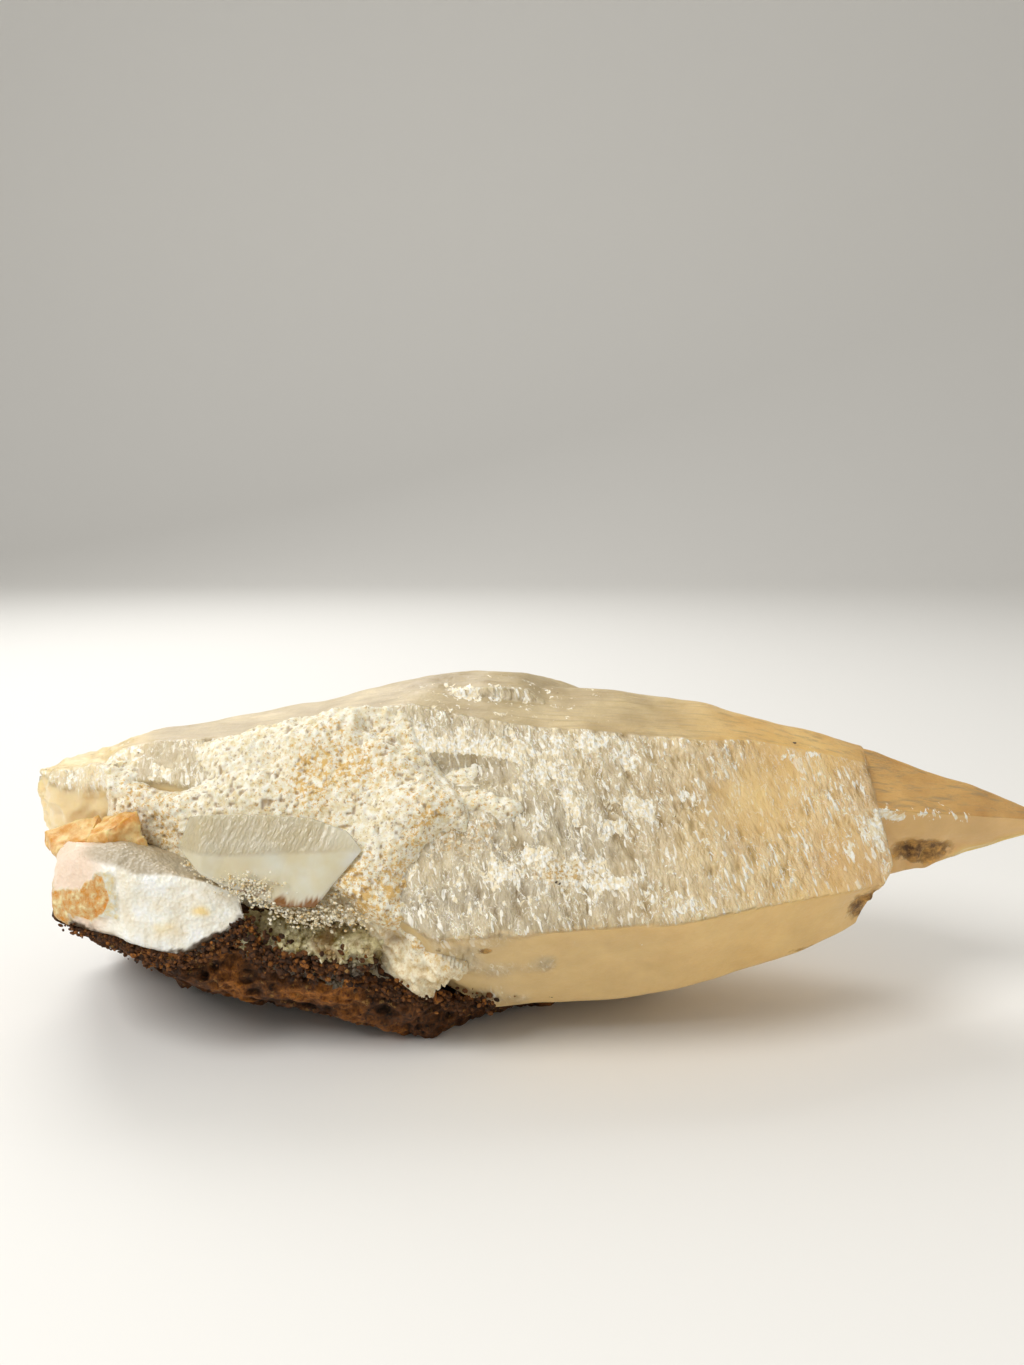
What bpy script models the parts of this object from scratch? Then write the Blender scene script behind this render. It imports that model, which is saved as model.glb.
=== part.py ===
"""Dogtooth calcite lying on its iron-stained host rock.

A large scalenohedral calcite crystal lies along X with its spear-shaped tip at +X. It grew as
three crystals from one heart, so they are joined in one solid. A plate of sandy crust covers its
front left, a small crystal sits in that crust, and a block of white spar, broken cleavage shards
and a druse of small crystals grew between them and the host rock that everything rests on.

Each crystal is cut from a block by its faces, as a mineralogist describes one. A face has
    turn   degrees round the X axis: 0 faces the front (-Y), 90 faces up, -90 faces down
    lean   degrees that it tilts towards +X, the end with the tip
    reach  millimetres from the crystal's heart to the face
Lengths are in millimetres up to the last step of each shape, and the scene is in metres.
"""

import itertools
import math

import bmesh
import bpy
import numpy as np
from mathutils import Matrix, Vector

MM = 0.001
GAP = 0.3
LEAST_GAP = 0.02
BLOCK_SIZE = 400.0
MERGE = 0.02
SPLIT_ROUNDS = 6

# Where the big crystals grew from: the origin is under the middle of the specimen, on its base.
HEART = Vector((-7.9, -3.3, 42.0))
SIDE_HEART = HEART + Vector((-54.0, -27.0, 6.5))
SPAR_HEART = HEART + Vector((-80.0, -20.0, -5.0))
ROCK_HEART = HEART + Vector((-35.0, 2.0, -28.0))
DRUSE_HEART = HEART + Vector((-46.0, -24.0, -16.0))

# Edge length of the facets, fine enough for the lumps of each piece and no finer.
CRYSTAL_FACET = 12.0
CRUST_FACET = 12.0
SPAR_FACET = 11.0
SIDE_FACET = 10.0
ROCK_FACET = 12.0

# The faces that run the length of the big crystals, then those of each end.
FLANKS = (
    (36.5, 4.6, 29.6),
    (-32, 4.4, 39.8),
    (76, 6, 34.0),
    (112, 5, 39.5),
    (105, 14, 43.5),
    (135, 5, 43.0),
    (158, 5, 44.0),
    (-158, 6, 43.0),
    (-92, 3, 32.7),
    (-92, 10, 35.3),
    (-125, 8, 38.0),
)
BLUNT_RIGHT_END = (
    (35, 18, 38.6),
    (-32, 20, 48.2),
    (72, 17, 43.4),
    (-92, 22, 47.8),
    (175, 24, 54.0),
    (-62, 62, 84.3),
    (55, 70, 87.5),
)
STEEP_LEFT_END = (
    (36, -4, 29.5),
    (-35, -35, 43.0),
    (-60, -30, 39.0),
    (84, -14.5, 41.8),
    (115, -14, 45.5),
    (38, -36, 46.0),
    (-95, -28, 38.0),
    (150, -30, 60.0),
    (-150, -34, 58.0),
)
SPEAR_TIP = (
    (46, 10.3, 27.5),
    (-25, 5.2, 11.0),
    (-90, 16.7, 37.9),
    (72, 17, 43.7),
    (105, 20, 51.2),
    (150, 20, 48.8),
    (-145, 16, 36.0),
)
LONG_LEFT_END = (
    (86, -6, 35.7),
    (86, -20, 55.6),
    (36, -4, 29.0),
    (43, -12, 40.5),
    (-5, -14, 33.0),
    (-78, -17, 33.0),
    (118, -15, 47.0),
    (150, -18, 51.0),
    (-150, -20, 50.0),
    (-14, -57, 95.0),
    (0, 80, 40.0),
)
LOWER_FLANKS = tuple((turn, lean, reach - 0.5) for turn, lean, reach in FLANKS)
FRONT_CRYSTAL = FLANKS + BLUNT_RIGHT_END + STEEP_LEFT_END
SPEAR_CRYSTAL = LOWER_FLANKS + SPEAR_TIP + STEEP_LEFT_END
LEFT_CRYSTAL = LOWER_FLANKS + LONG_LEFT_END
ROOF_LEDGE = (
    (80, 0, 37.1),
    (80, -13.5, 39.8),
    (80, 25, 34.6),
    (108, 2, 43.0),
    (110, -14, 45.6),
    (0, 0, -1.0),
    (-90, 0, -25.0),
    (150, 0, 38.0),
)
SANDY_CRUST = (
    (34, -2, 33.0),
    (43, -11.6, 43.2),
    (80, -13, 43.8),
    (-27.5, -1.7, 40.6),
    (-40, -18, 44.0),
    (-15, -62, 89.0),
    (81, 48.6, 3.5),
    (-90, 47.5, -10.8),
    (0, 82, -6.0),
    (-80, -10, 27.0),
    (180, 0, -10.0),
)
CRUST_BAND = (
    (-25, 0, 42.2),
    (-45, 6, 43.0),
    (90, 40, -24.5),
    (90, 0, -8.0),
    (0, -80, 41.0),
    (-85, -5, 34.0),
    (180, 0, -15.0),
)
# The side crystal shows two faces. The others run back from its outline, down into the crust.
SIDE_CRYSTAL = (
    (36, -9, 8.7),
    (12, 8, 10.2),
    (166.4, -52.9, 12.5),
    (113.6, -2.1, 6.3),
    (113.1, 3.7, 5.9),
    (121.8, 21.5, 7.4),
    (150.3, 43.6, 10.0),
    (-121.7, 35.5, 8.0),
    (-104.6, -2.4, 6.3),
    (-102.8, -24.9, 6.0),
    (-101.4, -20.3, 5.6),
)
WHITE_SPAR = (
    (6, 7, 17.9),
    (3, -27, 18.8),
    (62, 2, 15.1),
    (76.9, -37.8, 21.9),
    (104.9, 1.4, 9.5),
    (103, 21.8, 6.9),
    (174.9, 47.7, 4.5),
    (-60, 30, 19.0),
    (-75, -14, 13.0),
    (0, -80, 25.0),
    (180, 0, 18.0),
)
HOST_ROCK = (
    (-90, 0, 14.8),
    (-62, -24, 27.5),
    (-68, -11, 18.3),
    (-40, -5, 26.0),
    (-35, 25, 31.0),
    (8, -3, 33.5),
    (0, -80, 76.0),
    (90, -2, 19.5),
    (-160, 50, 58.0),
    (180, 0, 31.0),
    (-140, 0, 30.0),
    (-170, -40, 66.0),
)
SHARD = (
    (0, -10, 6.0),
    (75, -20, 6.5),
    (-60, 12, 6.0),
    (35, 55, 8.0),
    (180, 12, 7.5),
    (-70, -50, 7.0),
    (10, -75, 9.0),
)
DRUSE_MOUND = (
    (60, -3.7, 7.8),
    (88, 4, 5.2),
    (-14, -3.8, 11.6),
    (-68, -15, 8.6),
    (-69, 33, 13.5),
    (-54, 64, 17.0),
    (82, 44, 14.3),
    (20, -42, 15.6),
    (-40, -30, 11.6),
    (180, 0, 11.2),
    (0, -80, 17.2),
)

# A small dogtooth of the druse: six faces lean one way, and six between them the other way.
TOOTH_REACH = 2.6
TOOTH_LEAN = 28
SMALL_DOGTOOTH = tuple((turn, TOOTH_LEAN, TOOTH_REACH) for turn in range(0, 360, 60)) + tuple(
    (turn, -TOOTH_LEAN, TOOTH_REACH) for turn in range(30, 390, 60)
)
TOOTH_COUNT = 9
TOOTH_SEED = 4
# The corners of the box, from the druse's heart, that the small crystals sit in.
TOOTH_BOX = ((-11, -12, -3), (11, -6, 6))
MOST_TILT = 1.0

# Layers of relief: height of the lumps, their width, and the seed of their random numbers.
CRYSTAL_SWELLS = ((0.9, 19.0, 3),)
CRYSTAL_RIBS = ((0.55, 5.5, 11),)
CRUST_LUMPS = ((1.1, 11.0, 5), (0.6, 5.0, 6))
SPAR_SWELLS = ((0.9, 12.0, 7),)
SIDE_RIPPLES = ((0.35, 7.0, 9),)
ROCK_LUMPS = ((2.2, 15.0, 21), (1.2, 7.0, 22))
SHARD_CHIPS = ((0.4, 5.0, 23),)
# Ribs are lumps drawn out across the long axis, and they slant this much along it per height.
RIB_STRETCH = 0.25
RIB_SLANT = 0.25

# Shard: heart from the big crystals' heart, size, and turn round Z in degrees.
SHARDS = {
    "cleavage_shard_left": ((-101.5, -18.0, 2.5), 0.62, 20),
    "cleavage_shard_upper": ((-92.0, -23.0, 6.0), 0.62, -25),
}

COLOURS = {
    "calcite": ((0.62, 0.52, 0.36), 0.35),
    "clear_calcite": ((0.58, 0.55, 0.44), 0.25),
    "sandy_crust": ((0.86, 0.78, 0.60), 0.95),
    "white_spar": ((0.80, 0.79, 0.74), 0.45),
    "cleaved_calcite": ((0.80, 0.62, 0.38), 0.40),
    "druse": ((0.52, 0.52, 0.38), 0.35),
    "host_rock": ((0.20, 0.12, 0.06), 0.90),
}


def face_direction(turn, lean):
    """Unit vector that a face with this turn and lean looks along."""
    turn, lean = math.radians(turn), math.radians(lean)
    return Vector((math.sin(lean), -math.cos(turn) * math.cos(lean), math.sin(turn) * math.cos(lean)))


def random_heights(points, cell, seed):
    """Smooth random heights from -1 to 1, with lumps about one cell wide.

    Space is divided into cubes, each corner holds a random number made from its place, and a
    point blends the eight corners round it along a smooth curve.
    """
    place = points / cell
    corner = np.floor(place).astype(np.int64)
    along = place - corner
    along = along * along * (3 - 2 * along)
    total = np.zeros(len(points))
    for step in itertools.product((0, 1), repeat=3):
        number = (corner + step) @ np.array((73856093, 19349663, 83492791)) + seed * 2654435761
        number = ((number ^ (number >> 13)) * 1274126177) & 0x7FFFFFFF
        number = ((number ^ (number >> 16)) * 668265263) & 0x7FFFFFFF
        share = np.where(step, along, 1 - along).prod(axis=1)
        total += share * (number / 0x3FFFFFFF - 1)
    return total


def cut_block(heart, faces, size=1.0):
    """A block cut down to a crystal by its faces, as a bmesh in millimetres."""
    block = bmesh.new()
    bmesh.ops.create_cube(block, size=BLOCK_SIZE, matrix=Matrix.Translation(heart))
    for turn, lean, reach in faces:
        direction = face_direction(turn, lean)
        everything = block.verts[:] + block.edges[:] + block.faces[:]
        cut = bmesh.ops.bisect_plane(
            block, geom=everything, plane_co=heart + direction * reach * size, plane_no=direction, clear_outer=True
        )
        rim = [piece for piece in cut["geom_cut"] if isinstance(piece, bmesh.types.BMEdge)]
        bmesh.ops.edgenet_fill(block, edges=rim)
    bmesh.ops.remove_doubles(block, verts=block.verts, dist=MERGE)
    bmesh.ops.recalc_face_normals(block, faces=block.faces)
    return block


def place(name, shape, collection):
    """Turns a bmesh in millimetres into an object of the scene, in metres."""
    bmesh.ops.scale(shape, vec=(MM, MM, MM), verts=shape.verts)
    mesh = bpy.data.meshes.new(name)
    shape.to_mesh(mesh)
    shape.free()
    obj = bpy.data.objects.new(name, mesh)
    collection.objects.link(obj)
    return obj


def as_shape(obj):
    """The object's evaluated mesh as a bmesh in millimetres."""
    graph = bpy.context.evaluated_depsgraph_get()
    mesh = bpy.data.meshes.new_from_object(obj.evaluated_get(graph))
    shape = bmesh.new()
    shape.from_mesh(mesh)
    bpy.data.meshes.remove(mesh)
    bmesh.ops.scale(shape, vec=(1 / MM, 1 / MM, 1 / MM), verts=shape.verts)
    return shape


def replace_mesh(obj, shape):
    """Gives the object a bmesh in millimetres as its mesh, and drops its modifiers."""
    obj.modifiers.clear()
    bmesh.ops.scale(shape, vec=(MM, MM, MM), verts=shape.verts)
    shape.to_mesh(obj.data)
    shape.free()


def combine(obj, others, operation):
    """Boolean of the object with each of the others, which are helpers and are then removed."""
    for other in others:
        modifier = obj.modifiers.new(operation.lower(), "BOOLEAN")
        modifier.operation = operation
        modifier.solver = "MANIFOLD"
        modifier.object = other
    bpy.context.view_layer.update()
    shape = as_shape(obj)
    for other in others:
        bpy.data.objects.remove(other)
    replace_mesh(obj, shape)


def facet(shape, longest):
    """Splits edges until hardly any is longer than this, so that the faces can carry lumps."""
    bmesh.ops.triangulate(shape, faces=shape.faces)
    for _ in range(SPLIT_ROUNDS):
        long_edges = [edge for edge in shape.edges if edge.calc_length() > longest]
        if not long_edges:
            break
        bmesh.ops.subdivide_edges(shape, edges=long_edges, cuts=1)
        bmesh.ops.triangulate(shape, faces=shape.faces, quad_method="SHORT_EDGE")


def raise_relief(shape, heights):
    """Moves each vertex along its normal by heights, a function of the points or layers of relief."""
    shape.normal_update()
    points = np.array([vert.co for vert in shape.verts])
    raised = heights(points) if callable(heights) else layered(points, heights)
    for vert, height in zip(shape.verts, raised):
        vert.co += vert.normal * float(height)


def layered(points, layers):
    """The sum of the layers of relief at each point."""
    return sum(height * random_heights(points, cell, seed) for height, cell, seed in layers)


def crystal_relief(points):
    """Slow swells, and growth ribs that run across the long axis and are narrow along it."""
    drawn_out = points * (1, RIB_STRETCH, RIB_STRETCH) + points[:, 2:] * (RIB_SLANT, 0, 0)
    return layered(points, CRYSTAL_SWELLS) + layered(drawn_out, CRYSTAL_RIBS)


def cut_at_base(shape):
    """Cuts off whatever reaches below the base, and closes the cut with one flat face."""
    everything = shape.verts[:] + shape.edges[:] + shape.faces[:]
    cut = bmesh.ops.bisect_plane(shape, geom=everything, plane_co=(0, 0, 0), plane_no=(0, 0, -1), clear_outer=True)
    rim = [piece for piece in cut["geom_cut"] if isinstance(piece, bmesh.types.BMEdge)]
    bmesh.ops.holes_fill(shape, edges=rim, sides=0)


def keep_largest_body(shape):
    """Drops the crumbs and sealed pockets that a cut leaves: only the largest body stays.

    A body is the faces that can be reached from one another across shared edges.
    """
    left = set(shape.faces)
    bodies = []
    while left:
        body, front = [], [left.pop()]
        while front:
            face = front.pop()
            body.append(face)
            linked = {other for edge in face.edges for other in edge.link_faces} & left
            left -= linked
            front.extend(linked)
        bodies.append(body)
    bodies.sort(key=lambda body: sum(face.calc_area() for face in body))
    crumbs = [face for body in bodies[:-1] for face in body]
    bmesh.ops.delete(shape, geom=crumbs, context="FACES")


def grown_copy(obj, gap, collection):
    """A cutter: the object with its surface moved out by the gap."""
    shape = as_shape(obj)
    raise_relief(shape, lambda points: np.full(len(points), gap))
    return place("socket_cutter", shape, collection)


def seat_against(obj, neighbours, cutters):
    """Cuts the sockets of the neighbours out of the object.

    A sharp rim can point past its own grown copy, so a copy that is hardly grown cuts too.
    """
    grown = [grown_copy(neighbour, gap, cutters) for neighbour in neighbours for gap in (GAP, LEAST_GAP)]
    combine(obj, grown, "DIFFERENCE")
    shape = as_shape(obj)
    keep_largest_body(shape)
    bmesh.ops.triangulate(shape, faces=shape.faces)
    replace_mesh(obj, shape)


def finish_surface(obj, longest, heights):
    """Gives the object facets of this length, and its relief."""
    shape = as_shape(obj)
    facet(shape, longest)
    raise_relief(shape, heights)
    replace_mesh(obj, shape)


def material(slot):
    """The plain material of a slot, made at its first use."""
    colour, roughness = COLOURS[slot]
    made = bpy.data.materials.get(slot) or bpy.data.materials.new(slot)
    made.use_nodes = True
    shader = made.node_tree.nodes["Principled BSDF"]
    shader.inputs["Base Color"].default_value = (*colour, 1)
    shader.inputs["Roughness"].default_value = roughness
    shader.inputs["Metallic"].default_value = 0
    return made


def make_main_crystal(parts, cutters):
    """The front, spear and left crystals and the ledge on the roof, grown from one heart."""
    crystal = place("main_crystal", cut_block(HEART, FRONT_CRYSTAL), parts)
    for faces in (SPEAR_CRYSTAL, LEFT_CRYSTAL, ROOF_LEDGE):
        combine(crystal, [place("grown_together", cut_block(HEART, faces), cutters)], "UNION")
    finish_surface(crystal, CRYSTAL_FACET, crystal_relief)
    return crystal


def make_plain_crystal(name, heart, faces, longest, heights, parts):
    """A single crystal or block from its faces."""
    crystal = place(name, cut_block(heart, faces), parts)
    finish_surface(crystal, longest, heights)
    return crystal


def make_druse(parts, cutters):
    """Small crystals at random tilts on a mound, joined in one solid."""
    druse = place("druse", cut_block(DRUSE_HEART, DRUSE_MOUND), parts)
    numbers = np.random.default_rng(TOOTH_SEED)
    for _ in range(TOOTH_COUNT):
        seat = Matrix.Translation(DRUSE_HEART + Vector(numbers.uniform(*TOOTH_BOX)))
        turned = Matrix.Rotation(numbers.uniform(0, math.tau), 4, "Z")
        tilted = Matrix.Rotation(numbers.uniform(-MOST_TILT, MOST_TILT), 4, "Y")
        small = cut_block(Vector((0, 0, 0)), SMALL_DOGTOOTH)
        bmesh.ops.transform(small, matrix=seat @ turned @ tilted, verts=small.verts)
        combine(druse, [place("grown_together", small, cutters)], "UNION")
    return druse


def make_shard(name, offset, size, spin, parts):
    """A broken piece with flat cleavage faces."""
    shape = cut_block(Vector((0, 0, 0)), SHARD, size)
    facet(shape, SIDE_FACET)
    raise_relief(shape, SHARD_CHIPS)
    spun = Matrix.Translation(HEART + Vector(offset)) @ Matrix.Rotation(math.radians(spin), 4, "Z")
    bmesh.ops.transform(shape, matrix=spun, verts=shape.verts)
    return place(name, shape, parts)


def make_host_rock(parts):
    """The lump of broken matrix, cut flat where the specimen stands."""
    rock = place("host_rock", cut_block(ROCK_HEART, HOST_ROCK), parts)
    shape = as_shape(rock)
    facet(shape, ROCK_FACET)
    raise_relief(shape, ROCK_LUMPS)
    cut_at_base(shape)
    replace_mesh(rock, shape)
    return rock


def main():
    for obj in list(bpy.data.objects):
        bpy.data.objects.remove(obj)
    parts = bpy.data.collections.new("dogtooth_calcite")
    cutters = bpy.data.collections.new("cutters")
    bpy.context.scene.collection.children.link(parts)
    bpy.context.scene.collection.children.link(cutters)

    crystal = make_main_crystal(parts, cutters)
    side = make_plain_crystal("side_crystal", SIDE_HEART, SIDE_CRYSTAL, SIDE_FACET, SIDE_RIPPLES, parts)
    spar = make_plain_crystal("white_spar_block", SPAR_HEART, WHITE_SPAR, SPAR_FACET, SPAR_SWELLS, parts)
    druse = make_druse(parts, cutters)
    crust = place("sandy_crust", cut_block(HEART, SANDY_CRUST), parts)
    combine(crust, [place("grown_together", cut_block(HEART, CRUST_BAND), cutters)], "UNION")
    finish_surface(crust, CRUST_FACET, CRUST_LUMPS)
    shards = [make_shard(name, *facts, parts) for name, facts in SHARDS.items()]
    rock = make_host_rock(parts)

    # Earlier pieces keep their shape, and later ones grew round them.
    grown = [(crystal, "calcite")]
    later = [(side, "clear_calcite"), (spar, "white_spar"), (druse, "druse")]
    later += [(shard, "cleaved_calcite") for shard in shards]
    later += [(crust, "sandy_crust"), (rock, "host_rock")]
    for obj, slot in later:
        seat_against(obj, [piece for piece, _ in grown], cutters)
        grown.append((obj, slot))
    for obj, slot in grown:
        obj.data.materials.clear()
        obj.data.materials.append(material(slot))


main()
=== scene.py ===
# %% [markdown]
# A dogtooth calcite on its host rock, dressed for a close look.
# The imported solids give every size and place. Each is replaced here by a finer surface that is
# worked out from the same crystal faces, so that the looks and the solids agree.
# Lengths are in millimetres in the working, and turn to metres when a mesh is made.

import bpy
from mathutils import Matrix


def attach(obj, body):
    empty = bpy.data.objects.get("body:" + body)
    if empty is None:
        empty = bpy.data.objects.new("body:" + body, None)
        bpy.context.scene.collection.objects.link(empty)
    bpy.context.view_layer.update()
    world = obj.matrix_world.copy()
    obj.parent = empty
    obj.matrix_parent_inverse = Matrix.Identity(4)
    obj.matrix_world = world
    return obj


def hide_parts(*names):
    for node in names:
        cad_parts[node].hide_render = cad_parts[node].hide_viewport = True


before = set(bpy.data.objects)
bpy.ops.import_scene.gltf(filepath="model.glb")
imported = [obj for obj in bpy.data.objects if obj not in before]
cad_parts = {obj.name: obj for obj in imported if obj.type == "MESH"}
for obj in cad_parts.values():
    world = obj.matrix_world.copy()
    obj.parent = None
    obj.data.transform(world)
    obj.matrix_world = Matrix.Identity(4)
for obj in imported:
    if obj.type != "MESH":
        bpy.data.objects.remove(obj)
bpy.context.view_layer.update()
print("solids:", sorted(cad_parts))

# %% Tools of the trade
import functools
import itertools
import math
import types

import bpy
import numpy as np

MM = 0.001
HEART = np.array((-7.9, -3.3, 42.0))

# %% [markdown]
# Nature repeats nothing, so every swell, rib and grain comes from smooth random numbers.
# The same function shaped the solids, with the same seeds, so that large lumps fall on large
# lumps. Image textures could do it too, but they can't be scaled or reused so freely.


# %% Random swells
# Large odd numbers stir a place and a seed into a number that looks random, of 31 bits.
PLACE_FACTORS = np.array((73856093, 19349663, 83492791))
SEED_FACTOR = 2654435761
STIRRING = ((13, 1274126177), (16, 668265263))
LARGEST = 0x7FFFFFFF


def heights(points, cell, seed):
    """Smooth random heights from -1 to 1, with lumps about one cell wide.

    Space is divided into cubes, each corner holds a random number made from its place, and a
    point blends the eight corners round it along a smooth curve.
    """
    place = points / cell
    corner = np.floor(place).astype(np.int64)
    along = place - corner
    along = along * along * (3 - 2 * along)
    total = np.zeros(points.shape[:-1])
    for step in itertools.product((0, 1), repeat=3):
        number = (corner + step) @ PLACE_FACTORS + seed * SEED_FACTOR
        for shift, factor in STIRRING:
            number = ((number ^ (number >> shift)) * factor) & LARGEST
        share = np.where(step, along, 1 - along).prod(axis=-1)
        total += share * (number / (LARGEST // 2) - 1)
    return total


def ease(value, low, high):
    """0 below low, 1 above high, and a smooth curve between them: 3 t squared less 2 t cubed."""
    part = np.clip((value - low) / (high - low), 0, 1)
    return part * part * (3 - 2 * part)


def spot(points, centre, size):
    """A soft round patch: 1 at its centre, falling as e to the minus squared distance over size."""
    return np.exp(-(((points - centre) / size) ** 2).sum(axis=-1))


def spots(points, rows):
    """The sum of soft patches, one a row: centre x, y, z, then size x, y, z, then strength."""
    return sum(strength * spot(points, (a, b, c), (d, e, f)) for a, b, c, d, e, f, strength in rows)


# %% [markdown]
# A crystal is described as a mineralogist does it: by its faces. A face has a turn round the
# long axis (0 looks at the viewer, 90 up, -90 down), a lean towards the tip, and a reach, its
# distance from the heart that the crystal grew from. To find the surface, a ray is sent out
# and stops at the nearest face that it meets. No cutting tool is needed, and the result is a
# plain array of distances, one for each ray.


# %% Rays that meet crystal faces
# A ray flatter to a face than this never meets it, no ray is shorter than the next length, and
# one that meets nothing goes as far as the last.
FLAT, SHORTEST, FAR = 1e-6, 1e-3, 1e6
CRISP, KNIFE_SHARP = 60.0, 400.0


def face_planes(faces):
    """Unit normals and reaches of rows of turn, lean and reach.

    A normal is (sin lean, -cos turn cos lean, sin turn cos lean).
    """
    turn, lean, reach = np.array(faces, float).T
    turn, lean = np.radians(turn), np.radians(lean)
    across = np.cos(lean)
    normals = np.stack([np.sin(lean), -np.cos(turn) * across, np.sin(turn) * across], axis=-1)
    return normals, reach


def span_in(faces, heart, origins, directions, crispness=CRISP):
    """Distances at which each ray enters and leaves the block that the faces enclose.

    The distance to a face is its room, reach less offset times normal, over direction times
    normal. A ray leaves by the nearest face ahead and entered by the farthest one behind. The
    nearest is found softly, as the sum of distance to the power -crispness, to the power
    -1 / crispness, which rounds an edge by about distance / crispness.
    """
    normals, reach = face_planes(faces)
    ahead = directions @ normals.T
    room = reach - (origins - heart) @ normals.T
    with np.errstate(divide="ignore", invalid="ignore"):
        distance = room / ahead
    outside = (np.abs(ahead) <= FLAT) & (room < 0)
    leave = np.where(outside, SHORTEST, FAR)
    leave = np.where(ahead > FLAT, np.clip(distance, SHORTEST, None), leave)
    enter = np.where(ahead < -FLAT, distance, -FAR).max(axis=-1)
    nearest = leave.min(axis=-1, keepdims=True)
    crispness = np.asarray(crispness, float)
    crowd = ((nearest / leave) ** crispness[..., None]).sum(axis=-1)
    return enter, nearest[..., 0] * crowd ** (-1 / crispness)


def reach_of(crystals, heart, origins, directions, crispness=CRISP):
    """How far a group of crystals that grew together reaches along each ray from inside it.

    The longest way out of those that the ray starts in, carried on by each that begins before
    the last one ends.
    """
    spans = [span_in(faces, heart, origins, directions, crispness) for faces in crystals]
    reach = np.max([np.where(enter <= 0, leave, 0) for enter, leave in spans], axis=0)
    for enter, leave in spans:
        reach = np.where((enter <= reach) & (leave > reach), leave, reach)
    return reach


def way_in(faces, heart, origins, directions):
    """Distance at which each ray from outside first meets a block, or far away where it misses."""
    enter, leave = span_in(faces, heart, origins, directions, KNIFE_SHARP)
    return np.where((enter > 0) & (enter < leave), enter, FAR)


# %% [markdown]
# A long crystal is drawn as a profile carried along a path: at each station along X a loop of
# rays leaves the path, and the loop of points that they reach is one rib of the mesh. A sphere
# of rays would crowd at the middle and thin out at the tips, while a loop keeps its detail.


# %% Profiles carried along a path
def spaced(low, high, count, density):
    """Count values from low to high, closer together where density(value) is larger.

    The running total of the density is read backwards at equal steps.
    """
    fine = np.linspace(low, high, 4001)
    total = np.cumsum(density(fine))
    total = (total - total[0]) / (total[-1] - total[0])
    return np.interp(np.linspace(0, 1, count), total, fine)


def loops_of_rays(path, stations, turns):
    """Ray starts and directions: at each station a full loop of turns, centred on the path."""
    path = np.array(path, float)
    across = [np.interp(stations, path[:, 0], path[:, axis]) for axis in (1, 2)]
    middle = np.stack([stations] + across, axis=-1)
    outward = np.stack([np.zeros(len(turns)), -np.cos(turns), np.sin(turns)], axis=-1)
    shape = (len(stations), len(turns), 3)
    return np.broadcast_to(middle[:, None], shape), np.broadcast_to(outward[None], shape)


def unit(vectors):
    """The same directions with a length of one."""
    return vectors / np.maximum(np.linalg.norm(vectors, axis=-1, keepdims=True), 1e-9)


def grid_normals(grid):
    """Unit normals of a grid of loops: the step along the path crossed with the step round the loop."""
    around = np.roll(grid, -1, axis=1) - np.roll(grid, 1, axis=1)
    return unit(np.cross(np.gradient(grid, axis=0), around))


def moved(points, directions, lengths):
    """Points moved along directions: point + length times direction."""
    return points + directions * lengths[..., None]


def tapered(relief, reach, length):
    """Relief that dies away towards the ends: times reach over length, where that is below 1."""
    return relief * np.minimum(1, reach / length)


def turn_of(normals):
    """Which way a surface looks, in degrees round the long axis: 0 at the viewer, 90 up."""
    return np.degrees(np.arctan2(normals[..., 2], -normals[..., 1]))


def end_corner(faces, heart, side):
    """The corner of a crystal that lies farthest along X, side 1, or against it, side -1.

    Every three faces meet in one point. The points that no face cuts off are the corners.
    """
    normals, reach = face_planes(faces)
    threes = np.array(list(itertools.combinations(range(len(reach)), 3)))
    sets, far = normals[threes], reach[threes]
    good = np.abs(np.linalg.det(sets)) > FLAT
    points = np.linalg.solve(sets[good], far[good][..., None])[..., 0]
    points = points[(points @ normals.T <= reach + FLAT).all(axis=1)]
    return heart + points[np.argmax(points[:, 0] * side)]


# %% [markdown]
# A grid becomes a mesh in one step: all points at once, then four-sided faces between
# neighbouring loops, and a fan at each end so that the skin is closed. Masks that were worked
# out for the points, such as where frost lies, go along as attributes for the materials.


# %% From a grid to a mesh
def in_scene(name, data):
    """Puts a mesh, a light or a camera in the scene and gives back its object."""
    made = bpy.data.objects.new(name, data)
    bpy.context.scene.collection.objects.link(made)
    return made


def new_piece(name, points, faces):
    """Makes an object of points in metres and of faces, each a list of point numbers."""
    mesh = bpy.data.meshes.new(name)
    mesh.from_pydata(points.tolist(), [], faces)
    print(name, sum(len(face) - 2 for face in faces), "triangles")
    return in_scene(name, mesh)


def give_mask(piece, key, values):
    """Stores one number for each point of a piece, under a name that materials can read."""
    mask = piece.data.attributes.new(key, "FLOAT", "POINT")
    mask.data.foreach_set("value", values.astype(np.float32))


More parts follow.
